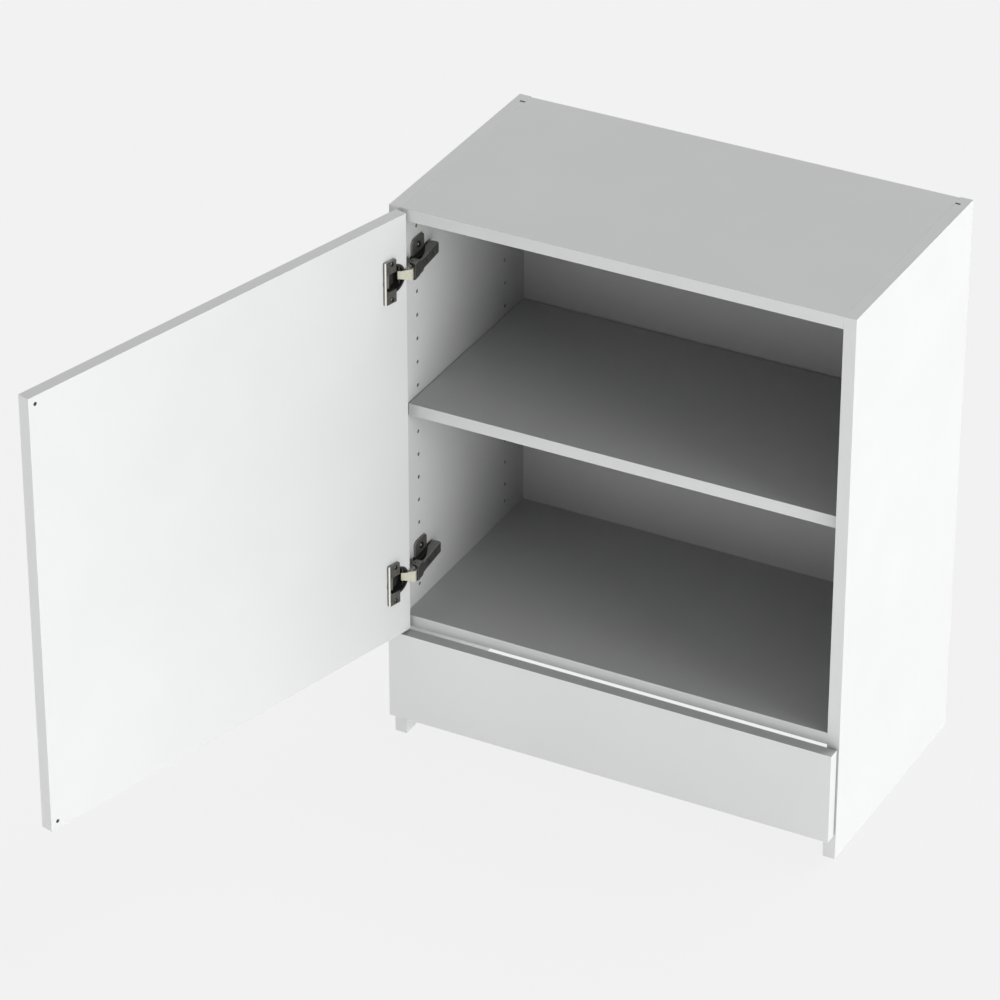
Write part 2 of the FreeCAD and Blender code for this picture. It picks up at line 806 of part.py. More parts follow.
def arm(name, height):
    """A tapered channel, open towards the side panel, with a wider head round the link's pin."""
    body = new_body(f"{name}_hinge_arm")
    wall = dim("arm_wall")
    tip = -dim("arm_tip_front")
    shoulder = dim("arm_shoulder")
    end = dim("arm_end")
    skirt = dim("arm_skirt_off")
    throat = ARM_PIN[0] - dim("link_arm_eye") - dim("arm_lip")
    below = skirt - dim("arm_open_reach")
    ahead = tip - dim("arm_open_reach")

    channel = new_sketch(body, "XY_Plane")
    polygon(channel, [(web_off(shoulder), shoulder), (web_off(end), end), (skirt, end),
                      (skirt, shoulder + dim("arm_skirt_run")), (throat, shoulder)])
    pad(body, channel, "arm_width", middle=True)
    head = new_sketch(body, "XY_Plane")
    polygon(head, [(web_off(tip), tip), (web_off(shoulder), shoulder), (throat, shoulder),
                   (throat, ARM_PIN[1] - dim("arm_chin"))])
    pad(body, head, "arm_head_width", middle=True)
    fillet(body, edges_along(body, ALONG_X), "arm_corner")
    fillet(body, edges_where(body, lambda point: abs(point.x - web_off(point.y)) < wall / 2, ALONG_Y), "arm_edge")

    inner_head = new_sketch(body, "XY_Plane")
    polygon(inner_head, [(web_off(tip) - wall, ahead), (web_off(shoulder) - wall, shoulder - wall),
                         (below, shoulder - wall), (below, ahead)])
    pocket(body, inner_head, "arm_head_cavity", middle=True)
    inner_channel = new_sketch(body, "XY_Plane")
    polygon(inner_channel, [(web_off(0) - wall, 0), (web_off(end - wall) - wall, end - wall),
                            (below, end - wall), (below, 0)])
    pocket(body, inner_channel, "arm_cavity", middle=True)

    pin_hole = new_sketch(body, "XY_Plane")
    disc(pin_hole, *ARM_PIN, "pin_bore")
    pocket(body, pin_hole, "cup_bore", middle=True)
    screw_holes = new_sketch(body, "YZ_Plane")
    for cell in ("adjuster_front", "adjuster_rear"):
        disc(screw_holes, dim(cell), 0, "adjuster_hole")
    pocket(body, screw_holes, "cup_bore", flip=True)
    body.Placement.Base = in_hinge_frame(Vector(0, 0, 0), height)
    return node(f"{name}_hinge_arm", body)


def adjusting_screws(name, height):
    """Slotted screws in the arm's back that bear on the mounting plate's block."""
    pieces = []
    depth = dim("adjuster_slot_depth")
    for cell in ("adjuster_front", "adjuster_rear"):
        foot = in_hinge_frame(Vector(dim("plate_block_height"), dim(cell), 0), height)
        shank = cylinder("adjuster_size", cell + "_length", foot, ALONG_X)
        slot = doc.addObject("Part::Box", "slot")
        slot.setExpression("Length", "dims.adjuster_slot_depth")
        slot.setExpression("Width", "dims.adjuster_slot_width")
        slot.setExpression("Height", "dims.adjuster_slot_length")
        corner = Vector(dim(cell + "_length") - depth, -dim("adjuster_slot_width") / 2,
                        -dim("adjuster_slot_length") / 2)
        slot.Placement.Base = foot + corner
        screw = doc.addObject("Part::Cut", "screw")
        screw.Base = shank
        screw.Tool = slot
        pieces.append(screw)
    return group(f"{name}_hinge_adjusting_screws", pieces)


def link(name, height):
    """A bent strip from the arm's pin round the door's edge to the cup's pin."""
    body = new_body(f"{name}_hinge_link")
    turn = math.radians(dim("link_face_angle"))
    along = (math.cos(turn), math.sin(turn))
    outward = (math.sin(turn), -math.cos(turn))

    def beside(point, out, run):
        return (point[0] + out * outward[0] + run * along[0], point[1] + out * outward[1] + run * along[1])

    def on_eye(cell):
        turned = math.radians(dim(cell))
        root = dim("link_root")
        return (ARM_PIN[0] + root * math.cos(turned), ARM_PIN[1] + root * math.sin(turned))

    strip = dim("link_strip")
    lead = dim("link_face_lead")
    tail = dim("link_tail")
    elbow_run = (dim("link_elbow_off") - beside(CUP_PIN, lead, 0)[0]) / along[0]
    face_start = beside(CUP_PIN, lead, -tail)
    back_start = beside(CUP_PIN, lead - strip, -tail)
    elbow = beside(CUP_PIN, lead, elbow_run)
    inner_elbow = beside(elbow, -strip, -2 * strip)
    shape = new_sketch(body, "XY_Plane")
    leg = [on_eye("link_leg_angle"), on_eye("link_heel_angle")]
    polygon(shape, [face_start, elbow, *leg, inner_elbow, back_start])
    pad(body, shape, "link_wide", middle=True)
    bend = Vector(*elbow)
    fillet(body, edges_where(body, lambda point: point.distanceToPoint(bend) < strip, ALONG_Z), "link_bend")
    for centre, cell in ((ARM_PIN, "link_arm_eye"), (CUP_PIN, "link_cup_eye")):
        ring = new_sketch(body, "XY_Plane")
        index = ring.addGeometry(Part.Circle(Vector(*centre), ALONG_Z, dim(cell)))
        bind(ring, "Radius", (index,), cell)
        pad(body, ring, "link_width", middle=True)
    narrow = dim("link_width") / 2
    wide = dim("link_wide") / 2
    start = -dim("link_taper_reach")
    for side in (-1, 1):
        taper = new_sketch(body, "XZ_Plane")
        polygon(taper, [(start, side * narrow), (dim("link_taper_off"), side * narrow),
                        (dim("link_elbow_off"), side * wide), (dim("link_elbow_off"), side * 2 * wide),
                        (start, side * 2 * wide)])
        pocket(body, taper, "link_cut", middle=True)
    bores = new_sketch(body, "XY_Plane")
    for centre in (ARM_PIN, CUP_PIN):
        disc(bores, *centre, "pin_bore")
    pocket(body, bores, "cup_bore", middle=True)
    body.Placement.Base = in_hinge_frame(Vector(0, 0, 0), height)
    return node(f"{name}_hinge_link", body)


def arm_pin(name, height):
    half = dim("arm_pin_length") / 2
    pin = cylinder("pin_size", "arm_pin_length", in_hinge_frame(Vector(*ARM_PIN, -half), height), ALONG_Z)
    return node(f"{name}_hinge_arm_pin", pin)


def cup(name, height):
    """A drawn cup with a flat flange, notched towards the door's edge where the link passes."""
    body = new_body(f"{name}_hinge_cup")
    outer = dim("cup_outer")
    inner = dim("cup_inner")
    floor = -dim("cup_depth")
    rim = dim("cup_rim")
    lip = dim("cup_rim_sheet")
    section = new_sketch(body, "XY_Plane")
    foot = dim("cup_foot")
    polygon(section, [(0, floor), (outer - foot, floor), (outer, floor + foot), (outer, 0), (rim, 0), (rim, lip),
                      (inner, lip), (inner, floor + dim("cup_floor")), (0, floor + dim("cup_floor"))])
    turned = body.newObject("PartDesign::Revolution", body.Name + "_revolution")
    turned.Profile = section
    turned.ReferenceAxis = (section, ["V_Axis"])
    turned.Angle = 360
    doc.recompute()

    near = dim("flange_near") - dim("cup_inset")
    far = dim("flange_far") - dim("cup_inset")
    half = dim("flange_height") / 2
    mouth = dim("cup_mouth") / 2
    throat = far - dim("flange_strip")
    flange = new_sketch(body, "XZ_Plane")
    corner = dim("cup_mouth_corner")
    polygon(flange, [(near, half), (far, half), (far, -half), (near, -half), (near, -mouth),
                     (throat - corner, -mouth), (throat, corner - mouth), (throat, mouth - corner),
                     (throat - corner, mouth), (near, mouth)])
    pad(body, flange, "flange_sheet", flip=True)
    fillet(body, edges_where(body, lambda point: abs(point.z) > half - lip, ALONG_Y), "flange_corner")

    notch = new_sketch(body, "XY_Plane")
    edge = -rim - dim("cup_notch_over")
    top = lip + dim("cup_notch_over")
    reach = dim("cup_notch_reach") - inner
    polygon(notch, [(edge, top), (reach, top), (reach, -dim("cup_notch_depth")),
                    (edge, -dim("cup_notch_depth"))])
    pocket(body, notch, "cup_notch_width", middle=True)
    pin_hole = new_sketch(body, "XY_Plane")
    disc(pin_hole, dim("cup_pin_inset") - dim("cup_inset"), -dim("cup_pin_sink"), "pin_bore")
    pocket(body, pin_hole, "cup_bore", middle=True)
    screw_holes = new_sketch(body, "XZ_Plane")
    for side in (-1, 1):
        disc(screw_holes, dim("cup_screw_inset") - dim("cup_inset"), side * dim("cup_screw_pitch") / 2,
             "cup_screw_hole")
    pocket(body, screw_holes, "flange_sheet")
    body.Placement = on_door(dim("cup_inset"), height)
    return node(f"{name}_hinge_cup", body)


def cup_pin(name, height):
    half = dim("cup_pin_length") / 2
    pin = cylinder("pin_size", "cup_pin_length", in_hinge_frame(Vector(*CUP_PIN, -half), height), ALONG_Z)
    return node(f"{name}_hinge_cup_pin", pin)


def cup_screws(name, height):
    pieces = []
    outward = DOOR_TURN.multVec(ALONG_Y)
    for side in (-1, 1):
        place = on_door(dim("cup_screw_inset"), height + side * dim("cup_screw_pitch") / 2)
        seat = place.Base + outward * dim("flange_sheet")
        screw = headed_pin("cup_screw", "cup_screw_length", "cup_screw_head", "cup_screw_head_height",
                           seat, outward)
        pieces.append(screw)
    return group(f"{name}_hinge_cup_screws", pieces)


def damper(name, height):
    """The closing damper's housing at the cup's far side."""
    body = new_body(f"{name}_hinge_damper")
    near = dim("damper_near") - dim("cup_inset")
    far = dim("damper_far") - dim("cup_inset")
    floor = dim("cup_floor") - dim("cup_depth")
    block = new_sketch(body, "XY_Plane")
    polygon(block, [(near, floor), (far, floor), (far, dim("damper_proud")), (near, dim("damper_proud"))])
    pad(body, block, "damper_width", middle=True)
    fillet(body, edges_along(body, ALONG_Z), "damper_round")
    body.Placement = on_door(dim("cup_inset"), height)
    return node(f"{name}_hinge_damper", body)


for hinge_name, hinge_cell in HINGES.items():
    hinge_height = dim(hinge_cell)
    for make in (mounting_plate, plate_screws, arm, adjusting_screws, arm_pin, link, cup, cup_pin, cup_screws,
                 damper):
        make(hinge_name, hinge_height)

# Checks, then one file for each sub-part
doc.recompute()
for item in doc.Objects:
    if "Invalid" in item.State or "Error" in item.State:
        raise RuntimeError(f"{item.Label} failed: {item.State}")
os.makedirs("parts", exist_ok=True)
for label, item in nodes.items():
    if item.Shape.isNull() or not item.Shape.isValid():
        raise RuntimeError(f"{label} has no valid shape")
    item.Shape.exportStep(f"parts/{label}.step")
    print(f"{label}: {len(item.Shape.Solids)} solid(s), {item.Shape.Volume / 1000:.1f} cm3")
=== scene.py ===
# %% [markdown]
# # A white base cabinet with its door open
# The real cabinet is chipboard faced with white melamine, on which a door hangs from two concealed
# hinges. The solids come from CAD and stay where they are. This lesson dresses them: it eases the
# boards' edges, shapes the hinges' pressed metal, sets in the screws and gives every surface a finish.
# Everything is in metres, in the CAD model's own frame.

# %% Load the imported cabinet
import math

import bmesh
import bpy
from mathutils import Matrix, Vector


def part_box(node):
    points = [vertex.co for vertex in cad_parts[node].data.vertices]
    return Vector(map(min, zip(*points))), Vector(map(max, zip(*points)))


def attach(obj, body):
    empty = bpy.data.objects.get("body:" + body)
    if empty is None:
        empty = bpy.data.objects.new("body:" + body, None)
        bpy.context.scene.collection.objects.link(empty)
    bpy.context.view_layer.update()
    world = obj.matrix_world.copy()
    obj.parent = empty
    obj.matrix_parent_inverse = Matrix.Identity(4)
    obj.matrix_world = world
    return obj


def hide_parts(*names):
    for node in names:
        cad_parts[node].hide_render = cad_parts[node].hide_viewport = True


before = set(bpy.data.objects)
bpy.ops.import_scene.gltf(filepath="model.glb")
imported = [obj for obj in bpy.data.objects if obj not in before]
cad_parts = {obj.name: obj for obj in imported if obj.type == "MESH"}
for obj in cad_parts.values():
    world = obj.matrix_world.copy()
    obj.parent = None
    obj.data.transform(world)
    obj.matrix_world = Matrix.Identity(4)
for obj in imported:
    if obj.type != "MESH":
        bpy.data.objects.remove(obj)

MM = 0.001
scene = bpy.context.scene
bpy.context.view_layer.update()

# %% [markdown]
# ## The camera
# The picture is taken from far away with a long lens, from the right, the front and above. Its place
# could be found by eye, but the cabinet's corners fix it: the lens, the place and the direction below
# bring every corner to within a pixel of where the picture has it. There is no shift and no blur.

# %% Place the camera
camera_data = bpy.data.cameras.new("picture_camera")
camera_data.sensor_width = 36
camera_data.lens = 182.27
camera_data.clip_end = 100
camera = bpy.data.objects.new("picture_camera", camera_data)
camera.location = (2.2729, -4.75492, 3.47712)
looking = Vector((-0.401098, 0.758896, -0.513027))
camera.rotation_euler = looking.to_track_quat("-Z", "Y").to_euler()
scene.collection.objects.link(camera)
scene.camera = camera
scene.view_settings.view_transform = "Standard"
print("camera:", [round(value, 3) for value in camera.location])

# %% [markdown]
# ## The floor and the studio
# The cabinet stands on a pale sweep without edges. A floor that only reflected the lamps would be as
# grey as they leave it, so this one is a light table: it is pale of itself, which also lights the fronts
# from below, and a part of it still answers to the lamps and keeps the cabinet's faint shadow. The air
# above is white to the eye and in reflections, and gives a soft light. White boards throw light to and
# fro until the inside is as bright as the outside, but the picture's inside falls off to a dark grey, so
# the light of the floor and of the air keeps only a part of itself after each bounce.

# %% Lay the floor
KEPT = 0.15


def seen_directly(tree):
    """1 for what the eye sees straight or in a reflection, 0 for light that bounces."""
    path = tree.nodes.new("ShaderNodeLightPath")
    total = path.outputs["Is Camera Ray"]
    for kind in ("Is Glossy Ray", "Is Transmission Ray"):
        adder = tree.nodes.new("ShaderNodeMath")
        adder.use_clamp = True
        tree.links.new(total, adder.inputs[0])
        tree.links.new(path.outputs[kind], adder.inputs[1])
        total = adder.outputs[0]
    return total


def fading(tree, level):
    """A light's level, of which each bounce off a dull surface after the first keeps only a share."""
    path = tree.nodes.new("ShaderNodeLightPath")
    bounces = tree.nodes.new("ShaderNodeMath")
    bounces.operation = "SUBTRACT"
    tree.links.new(path.outputs["Diffuse Depth"], bounces.inputs[0])
    tree.links.new(path.outputs["Is Diffuse Ray"], bounces.inputs[1])
    share = tree.nodes.new("ShaderNodeMath")
    share.operation = "POWER"
    share.inputs[0].default_value = KEPT
    tree.links.new(bounces.outputs[0], share.inputs[1])
    strength = tree.nodes.new("ShaderNodeMath")
    strength.operation = "MULTIPLY"
    strength.inputs[0].default_value = level
    tree.links.new(share.outputs[0], strength.inputs[1])
    return strength.outputs[0]


def floor_finish(seen, bounced):
    """A pale floor. Each pair is its own light and the share of the lamps' light that it returns."""
    finish = bpy.data.materials.new("pale_floor")
    finish.use_nodes = True
    tree = finish.node_tree
    tree.nodes.clear()
    choice = tree.nodes.new("ShaderNodeMixShader")
    for place, (glow, answer) in ((1, bounced), (2, seen)):
        light = tree.nodes.new("ShaderNodeEmission")
        light.inputs["Color"].default_value = (1, 1, 1, 1)
        light.inputs["Strength"].default_value = glow
        if place == 1:
            tree.links.new(fading(tree, glow), light.inputs["Strength"])
        shaded = tree.nodes.new("ShaderNodeBsdfDiffuse")
        shaded.inputs["Color"].default_value = (answer, answer, answer, 1)
        both = tree.nodes.new("ShaderNodeAddShader")
        tree.links.new(light.outputs[0], both.inputs[0])
        tree.links.new(shaded.outputs[0], both.inputs[1])
        tree.links.new(both.outputs[0], choice.inputs[place])
    out = tree.nodes.new("ShaderNodeOutputMaterial")
    tree.links.new(seen_directly(tree), choice.inputs["Fac"])
    tree.links.new(choice.outputs[0], out.inputs["Surface"])
    return finish


FLOOR_REACH = 15.0
FLOOR_SINK = 0.2 * MM
FLOOR_SEEN = (0.85, 0.06)
FLOOR_BOUNCED = (1.09, 0.8)
floor_mesh = bpy.data.meshes.new("floor")
floor_corners = [(x * FLOOR_REACH, y * FLOOR_REACH, 0) for x, y in ((-1, -1), (1, -1), (1, 1), (-1, 1))]
floor_mesh.from_pydata(floor_corners, [], [(0, 1, 2, 3)])
floor = bpy.data.objects.new("floor", floor_mesh)
floor.location.z = -FLOOR_SINK
scene.collection.objects.link(floor)
floor_mesh.materials.append(floor_finish(FLOOR_SEEN, FLOOR_BOUNCED))
print("floor:", floor.dimensions.x, "m square")

# %% Fill the air with white
PALE = 0.9
AIR_LIGHT = 0.30
studio = bpy.data.worlds.new("studio")
scene.world = studio
studio.use_nodes = True
air = studio.node_tree
air.nodes.clear()
faint = air.nodes.new("ShaderNodeBackground")
faint.inputs["Color"].default_value = (1, 1, 1, 1)
air.links.new(fading(air, AIR_LIGHT), faint.inputs["Strength"])
white = air.nodes.new("ShaderNodeBackground")
white.inputs["Color"].default_value = (PALE, PALE, PALE, 1)
white.inputs["Strength"].default_value = 1.0
which_air = air.nodes.new("ShaderNodeMixShader")
air_out = air.nodes.new("ShaderNodeOutputWorld")
air.links.new(seen_directly(air), which_air.inputs["Fac"])
air.links.new(faint.outputs[0], which_air.inputs[1])
air.links.new(white.outputs[0], which_air.inputs[2])
air.links.new(which_air.outputs[0], air_out.inputs["Surface"])
print("air:", PALE, "to the eye,", AIR_LIGHT, "as a light")

# %% [markdown]
# ## The lamps
# The picture's right side and the open door are the brightest, the fronts are a little darker and the top
# is a light grey. The floor lights the fronts and the air the inside. Two low lamps from the right do the
# rest, with a high one from behind for the top, which leaves the plinth's upper edge in the cabinet's
# own shade. Each lamp is a wide sun, so its shadow's edge is soft, and its light bounces once.

# %% Hang the lamps
LAMP_SPREAD = math.radians(25)
LAMPS = {
    "high_behind": (150, 65, 0.30),
    "low_right": (85, 3, 0.19),
    "low_right_front": (76, 8, 0.29),
}
for name, (azimuth, elevation, level) in LAMPS.items():
    around = math.radians(azimuth)
    up = math.radians(elevation)
    towards = Vector((math.sin(around) * math.cos(up), -math.cos(around) * math.cos(up), math.sin(up)))
    lamp = bpy.data.lights.new(name, "SUN")
    lamp.energy = math.pi * level
    lamp.angle = LAMP_SPREAD
    lamp.cycles.max_bounces = 1
    lamp_object = bpy.data.objects.new(name, lamp)
    lamp_object.rotation_euler = towards.to_track_quat("Z", "Y").to_euler()
    scene.collection.objects.link(lamp_object)
print("lamps:", len(LAMPS))

# %% [markdown]
# ## The finishes
# A finish is more than a colour. Melamine has a fine pearl texture and clouds very slightly, chipboard
# shows its flakes inside the drilled holes, and plated steel is streaked. Pictures of the materials could
# be wrapped round the pieces; noise worked out from each point's own place does the same at any size and
# needs no unwrapping, so all the finishes are made from it.

# %% Tools for the finishes
def start_finish(name, metal=0.0):
    finish = bpy.data.materials.new(name)
    finish.use_nodes = True
    shader = finish.node_tree.nodes["Principled BSDF"]
    shader.inputs["Metallic"].default_value = metal
    return finish, finish.node_tree, shader


def grain(tree, size, detail=3.0, stretch=(1, 1, 1)):
    """Noise whose lumps are about a given size in metres, drawn out along an axis by a stretch below 1."""
    place = tree.nodes.new("ShaderNodeTexCoord")
    mapping = tree.nodes.new("ShaderNodeMapping")
    mapping.inputs["Scale"].default_value = stretch
    noise = tree.nodes.new("ShaderNodeTexNoise")
    noise.inputs["Scale"].default_value = 1 / size
    noise.inputs["Detail"].default_value = detail
    tree.links.new(place.outputs["Object"], mapping.inputs["Vector"])
    tree.links.new(mapping.outputs["Vector"], noise.inputs["Vector"])
    return noise.outputs["Fac"]


NOISE_LOW = 0.3
NOISE_HIGH = 0.7


def colour_by(tree, shader, value, dark, light, low=NOISE_LOW, high=NOISE_HIGH):
    ramp = tree.nodes.new("ShaderNodeValToRGB")
    first, last = ramp.color_ramp.elements
    first.position = low
    last.position = high
    first.color = (*dark, 1)
    last.color = (*light, 1)
    tree.links.new(value, ramp.inputs["Fac"])
    tree.links.new(ramp.outputs["Color"], shader.inputs["Base Color"])


def roughness_by(tree, shader, value, smooth, rough):
    spread = tree.nodes.new("ShaderNodeMapRange")
    spread.inputs["From Min"].default_value = NOISE_LOW
    spread.inputs["From Max"].default_value = NOISE_HIGH
    spread.inputs["To Min"].default_value = smooth
    spread.inputs["To Max"].default_value = rough
    tree.links.new(value, spread.inputs["Value"])
    tree.links.new(spread.outputs["Result"], shader.inputs["Roughness"])


def relief_by(tree, shader, value, depth, strength=0.5):
    bump = tree.nodes.new("ShaderNodeBump")
    bump.inputs["Strength"].default_value = strength
    bump.inputs["Distance"].default_value = depth
    tree.links.new(value, bump.inputs["Height"])
    tree.links.new(bump.outputs["Normal"], shader.inputs["Normal"])


# %% White board: melamine faces and edge bands
CLOUD_SHADE = 0.975
PEARL_DEPTH = 0.012 * MM
BOARD_SHEEN = 0.35
BOARD_WHITE = (0.745, 0.755, 0.75)
SHEET_WHITE = (0.74, 0.745, 0.74)


def melamine(name, cloud, pearl, smooth, rough, tone):
    finish, tree, shader = start_finish(name)
    clouds = grain(tree, cloud, detail=2.0)
    darker = tuple(CLOUD_SHADE * part for part in tone)
    colour_by(tree, shader, clouds, darker, tone)
    pores = grain(tree, pearl, detail=1.0)
    roughness_by(tree, shader, pores, smooth, rough)
    relief_by(tree, shader, pores, PEARL_DEPTH)
    shader.inputs["Specular IOR Level"].default_value = BOARD_SHEEN
    return finish


melamine_face = melamine("white_melamine", cloud=120 * MM, pearl=1.3 * MM,
                         smooth=0.42, rough=0.52, tone=BOARD_WHITE)
edge_band = melamine("white_edge_band", cloud=50 * MM, pearl=0.8 * MM,
                     smooth=0.34, rough=0.42, tone=BOARD_WHITE)
sheet_face = melamine("white_hardboard_face", cloud=90 * MM, pearl=1.0 * MM,
                      smooth=0.5, rough=0.6, tone=SHEET_WHITE)
print("white finishes:", melamine_face.name, edge_band.name, sheet_face.name)

# %% Bare chipboard, hardboard and beech
def raw_wood(name, size, stretch, dark, light, depth):
    finish, tree, shader = start_finish(name)
    flakes = grain(tree, size, detail=4.0, stretch=stretch)
    colour_by(tree, shader, flakes, dark, light, low=0.35, high=0.65)
    roughness_by(tree, shader, flakes, smooth=0.75, rough=0.95)
    relief_by(tree, shader, flakes, depth)
    return finish


chipboard = raw_wood("raw_chipboard", size=2.2 * MM, stretch=(1, 1, 1), depth=0.15 * MM,
                     dark=(0.34, 0.335, 0.32), light=(0.53, 0.52, 0.50))
hardboard_back = raw_wood("brown_hardboard", size=1.6 * MM, stretch=(0.5, 1, 1), depth=0.03 * MM,
                          dark=(0.25, 0.145, 0.078), light=(0.36, 0.225, 0.125))
beech = raw_wood("beech_dowel", size=1.1 * MM, stretch=(0.1, 1, 1), depth=0.03 * MM,
                 dark=(0.60, 0.42, 0.25), light=(0.74, 0.56, 0.37))
print("wood finishes:", chipboard.name, hardboard_back.name, beech.name)

# %% Metals
FINE_GRAIN = 0.5 * MM


def metal(name, dark, light, smooth, rough, size, stretch=(1, 1, 1), depth=0.004 * MM, bare=1.0):
    """Streaked metal; a bare share below 1 has that much less of a mirror, as under a coat of paint."""
    finish, tree, shader = start_finish(name, metal=bare)
    streaks = grain(tree, size, detail=3.0, stretch=stretch)
    colour_by(tree, shader, streaks, dark, light)
    roughness_by(tree, shader, streaks, smooth, rough)
    relief_by(tree, shader, grain(tree, FINE_GRAIN, detail=1.0), depth)
    return finish


dark_coat = metal("dark_hinge_coat", dark=(0.100, 0.098, 0.090), light=(0.140, 0.137, 0.126),
                  smooth=0.40, rough=0.52, size=6 * MM, bare=0.35)
# Painted shade: a darker copy of the hinge coat for the arm's back, the web that faces right.
web_shade_paint = metal("arm_web_painted_shade", dark=(0.062, 0.060, 0.056), light=(0.088, 0.086, 0.079),
                 smooth=0.40, rough=0.52, size=6 * MM, bare=0.35)
# Painted highlight: a paler copy of the hinge coat for the arm's upper flank and the rims of the plate and
# the cup.
highlight_paint = metal("painted_highlight_coat", dark=(0.25, 0.246, 0.23), light=(0.33, 0.325, 0.305),
                  smooth=0.38, rough=0.48, size=4 * MM, bare=0.35)
screw_coat = metal("dark_screw_coat", dark=(0.075, 0.073, 0.068), light=(0.11, 0.107, 0.10),
                   smooth=0.26, rough=0.36, size=3 * MM)
nickel = metal("bright_nickel_plate", dark=(0.60, 0.595, 0.47), light=(0.70, 0.69, 0.57),
               smooth=0.22, rough=0.34, size=2.5 * MM, stretch=(1, 1, 0.3))
# Painted shade: a near-black coat for the inside of the cups and for the plate's band in the arm's shadow.
painted_shade_black = metal("painted_shade_inside", dark=(0.026, 0.026, 0.025), light=(0.040, 0.039, 0.037),
                    smooth=0.5, rough=0.6, size=6 * MM, bare=0.2)
# Painted highlight: a near-white metal for the leaning strip along the far edge of the cup's flange.
strip_highlight_paint = metal("painted_highlight_strip", dark=(0.86, 0.85, 0.77), light=(0.94, 0.93, 0.86),
                     smooth=0.2, rough=0.3, size=2.5 * MM)
# Painted light: a duller, greyer copy of the nickel, as painted shade in the link's eye and in place of the
# dark reflection on the link's faces that turn right.
dull_nickel_paint = metal("painted_dull_nickel", dark=(0.34, 0.335, 0.31), light=(0.46, 0.455, 0.42),
                   smooth=0.4, rough=0.5, size=2.5 * MM, bare=0.4)
zinc = metal("zinc_plated_steel", dark=(0.52, 0.53, 0.54), light=(0.68, 0.69, 0.70),
             smooth=0.26, rough=0.4, size=5 * MM)
cast_zinc = metal("cast_zinc", dark=(0.42, 0.42, 0.425), light=(0.56, 0.56, 0.565),
                  smooth=0.42, rough=0.58, size=3 * MM, depth=0.05 * MM)
HINGE_METALS = (dark_coat, web_shade_paint, highlight_paint, screw_coat, nickel, painted_shade_black, strip_highlight_paint, dull_nickel_paint)
print("hinge metals:", [item.name for item in HINGE_METALS])
print("other metals:", zinc.name, cast_zinc.name)

# %% Plastic of the dampers
damper_plastic, plastic_tree, plastic_shader = start_finish("grey_damper_plastic")
speckle = grain(plastic_tree, 0.4 * MM, detail=2.0)
colour_by(plastic_tree, plastic_shader, speckle, (0.130, 0.128, 0.124), (0.165, 0.163, 0.158))
roughness_by(plastic_tree, plastic_shader, speckle, smooth=0.45, rough=0.6)
relief_by(plastic_tree, plastic_shader, speckle, depth=0.03 * MM)
print("plastic:", damper_plastic.name)

# %% [markdown]
# ## The boards
# A real board never ends in a knife edge: the edge band is trimmed with a small radius, which catches a
# thin line of light. The CAD boards are sharp, so each one is copied, its loose triangles are merged
# into whole faces and its long edges are eased by less than half a millimetre. The faces of a board are
# then told apart: broad faces are melamine, the narrow ones are edge band, and the walls of the holes
# and grooves are bare chipboard.

# %% Tools for copies of the CAD solids
SAME_POINT = 1e-6
FLAT = math.radians(1)
SHARP = math.radians(50)
LONG = 12 * MM


def merged_copy(node):
    """A node's triangles merged back into whole flat faces."""
    mesh = bmesh.new()
    mesh.from_mesh(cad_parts[node].data)
    bmesh.ops.remove_doubles(mesh, verts=mesh.verts, dist=SAME_POINT)
    bmesh.ops.dissolve_limit(mesh, angle_limit=FLAT, verts=mesh.verts, edges=mesh.edges)
    return mesh


def as_piece(mesh, name, finishes):
    data = bpy.data.meshes.new(name)
    mesh.to_mesh(data)
    mesh.free()
    data.shade_flat()
    for finish in finishes:
        data.materials.append(finish)
    piece = bpy.data.objects.new(name, data)
    scene.collection.objects.link(piece)
    return piece


def settle(piece):
    """Works a piece's modifiers into a plain mesh."""
    graph = bpy.context.evaluated_depsgraph_get()
    plain = bpy.data.meshes.new_from_object(piece.evaluated_get(graph), depsgraph=graph)
    worked = piece.data
    piece.modifiers.clear()
    piece.data = plain
    bpy.data.meshes.remove(worked)
    plain.name = piece.name
    return piece


def ease(piece, width, segments=2):
    """Rounds the edges that carry a bevel weight."""
    bevel = piece.modifiers.new("ease", "BEVEL")
    bevel.limit_method = "WEIGHT"
    bevel.width = width
    bevel.segments = segments
    return settle(piece)


def weigh_edges(mesh, rule):
    """Gives each edge the share of the easing that a rule asks for."""
    layer = mesh.edges.layers.float.new("bevel_weight_edge")
    for edge in mesh.edges:
        edge[layer] = rule(edge)


def crisp(edge):
    return 1.0 if edge.is_convex and edge.calc_face_angle(0) > SHARP else 0.0


def long_and_sharp(edge):
    return crisp(edge) if edge.calc_length() > LONG else 0.0


# %% Where the door is
LEFT_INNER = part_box("left_side_panel")[1].x
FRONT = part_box("left_side_panel")[0].y
CORNER_OFF = 10.2 * MM
CORNER_LEAD = 6.2 * MM
OPEN_BY = math.radians(105)
DOOR_CORNER = Vector((LEFT_INNER + CORNER_OFF, FRONT - CORNER_LEAD, 0))
DOOR = Matrix.Translation(DOOR_CORNER) @ Matrix.Rotation(-OPEN_BY, 4, "Z")
DOOR_SQUARED = DOOR.inverted()
print("door's hinge corner:", [round(value, 4) for value in DOOR_CORNER])

# %% Ease the boards and tell their faces apart
EASING = 0.25 * MM
BOARDS = {
    "left_side_panel": ("left_side", "carcass", 0),
    "right_side_panel": ("right_side", "carcass", 0),
    "top_panel": ("top", "carcass", 2),
    "bottom_panel": ("bottom", "carcass", 2),
    "adjustable_shelf": ("shelf", "carcass", 2),
    "plinth_board": ("plinth", "carcass", 1),
    "door_panel": ("door_leaf", "door", 1),
}


def on_outside(point, low, high, axis):
    return min(abs(point[axis] - low[axis]), abs(point[axis] - high[axis])) < EASING / 2


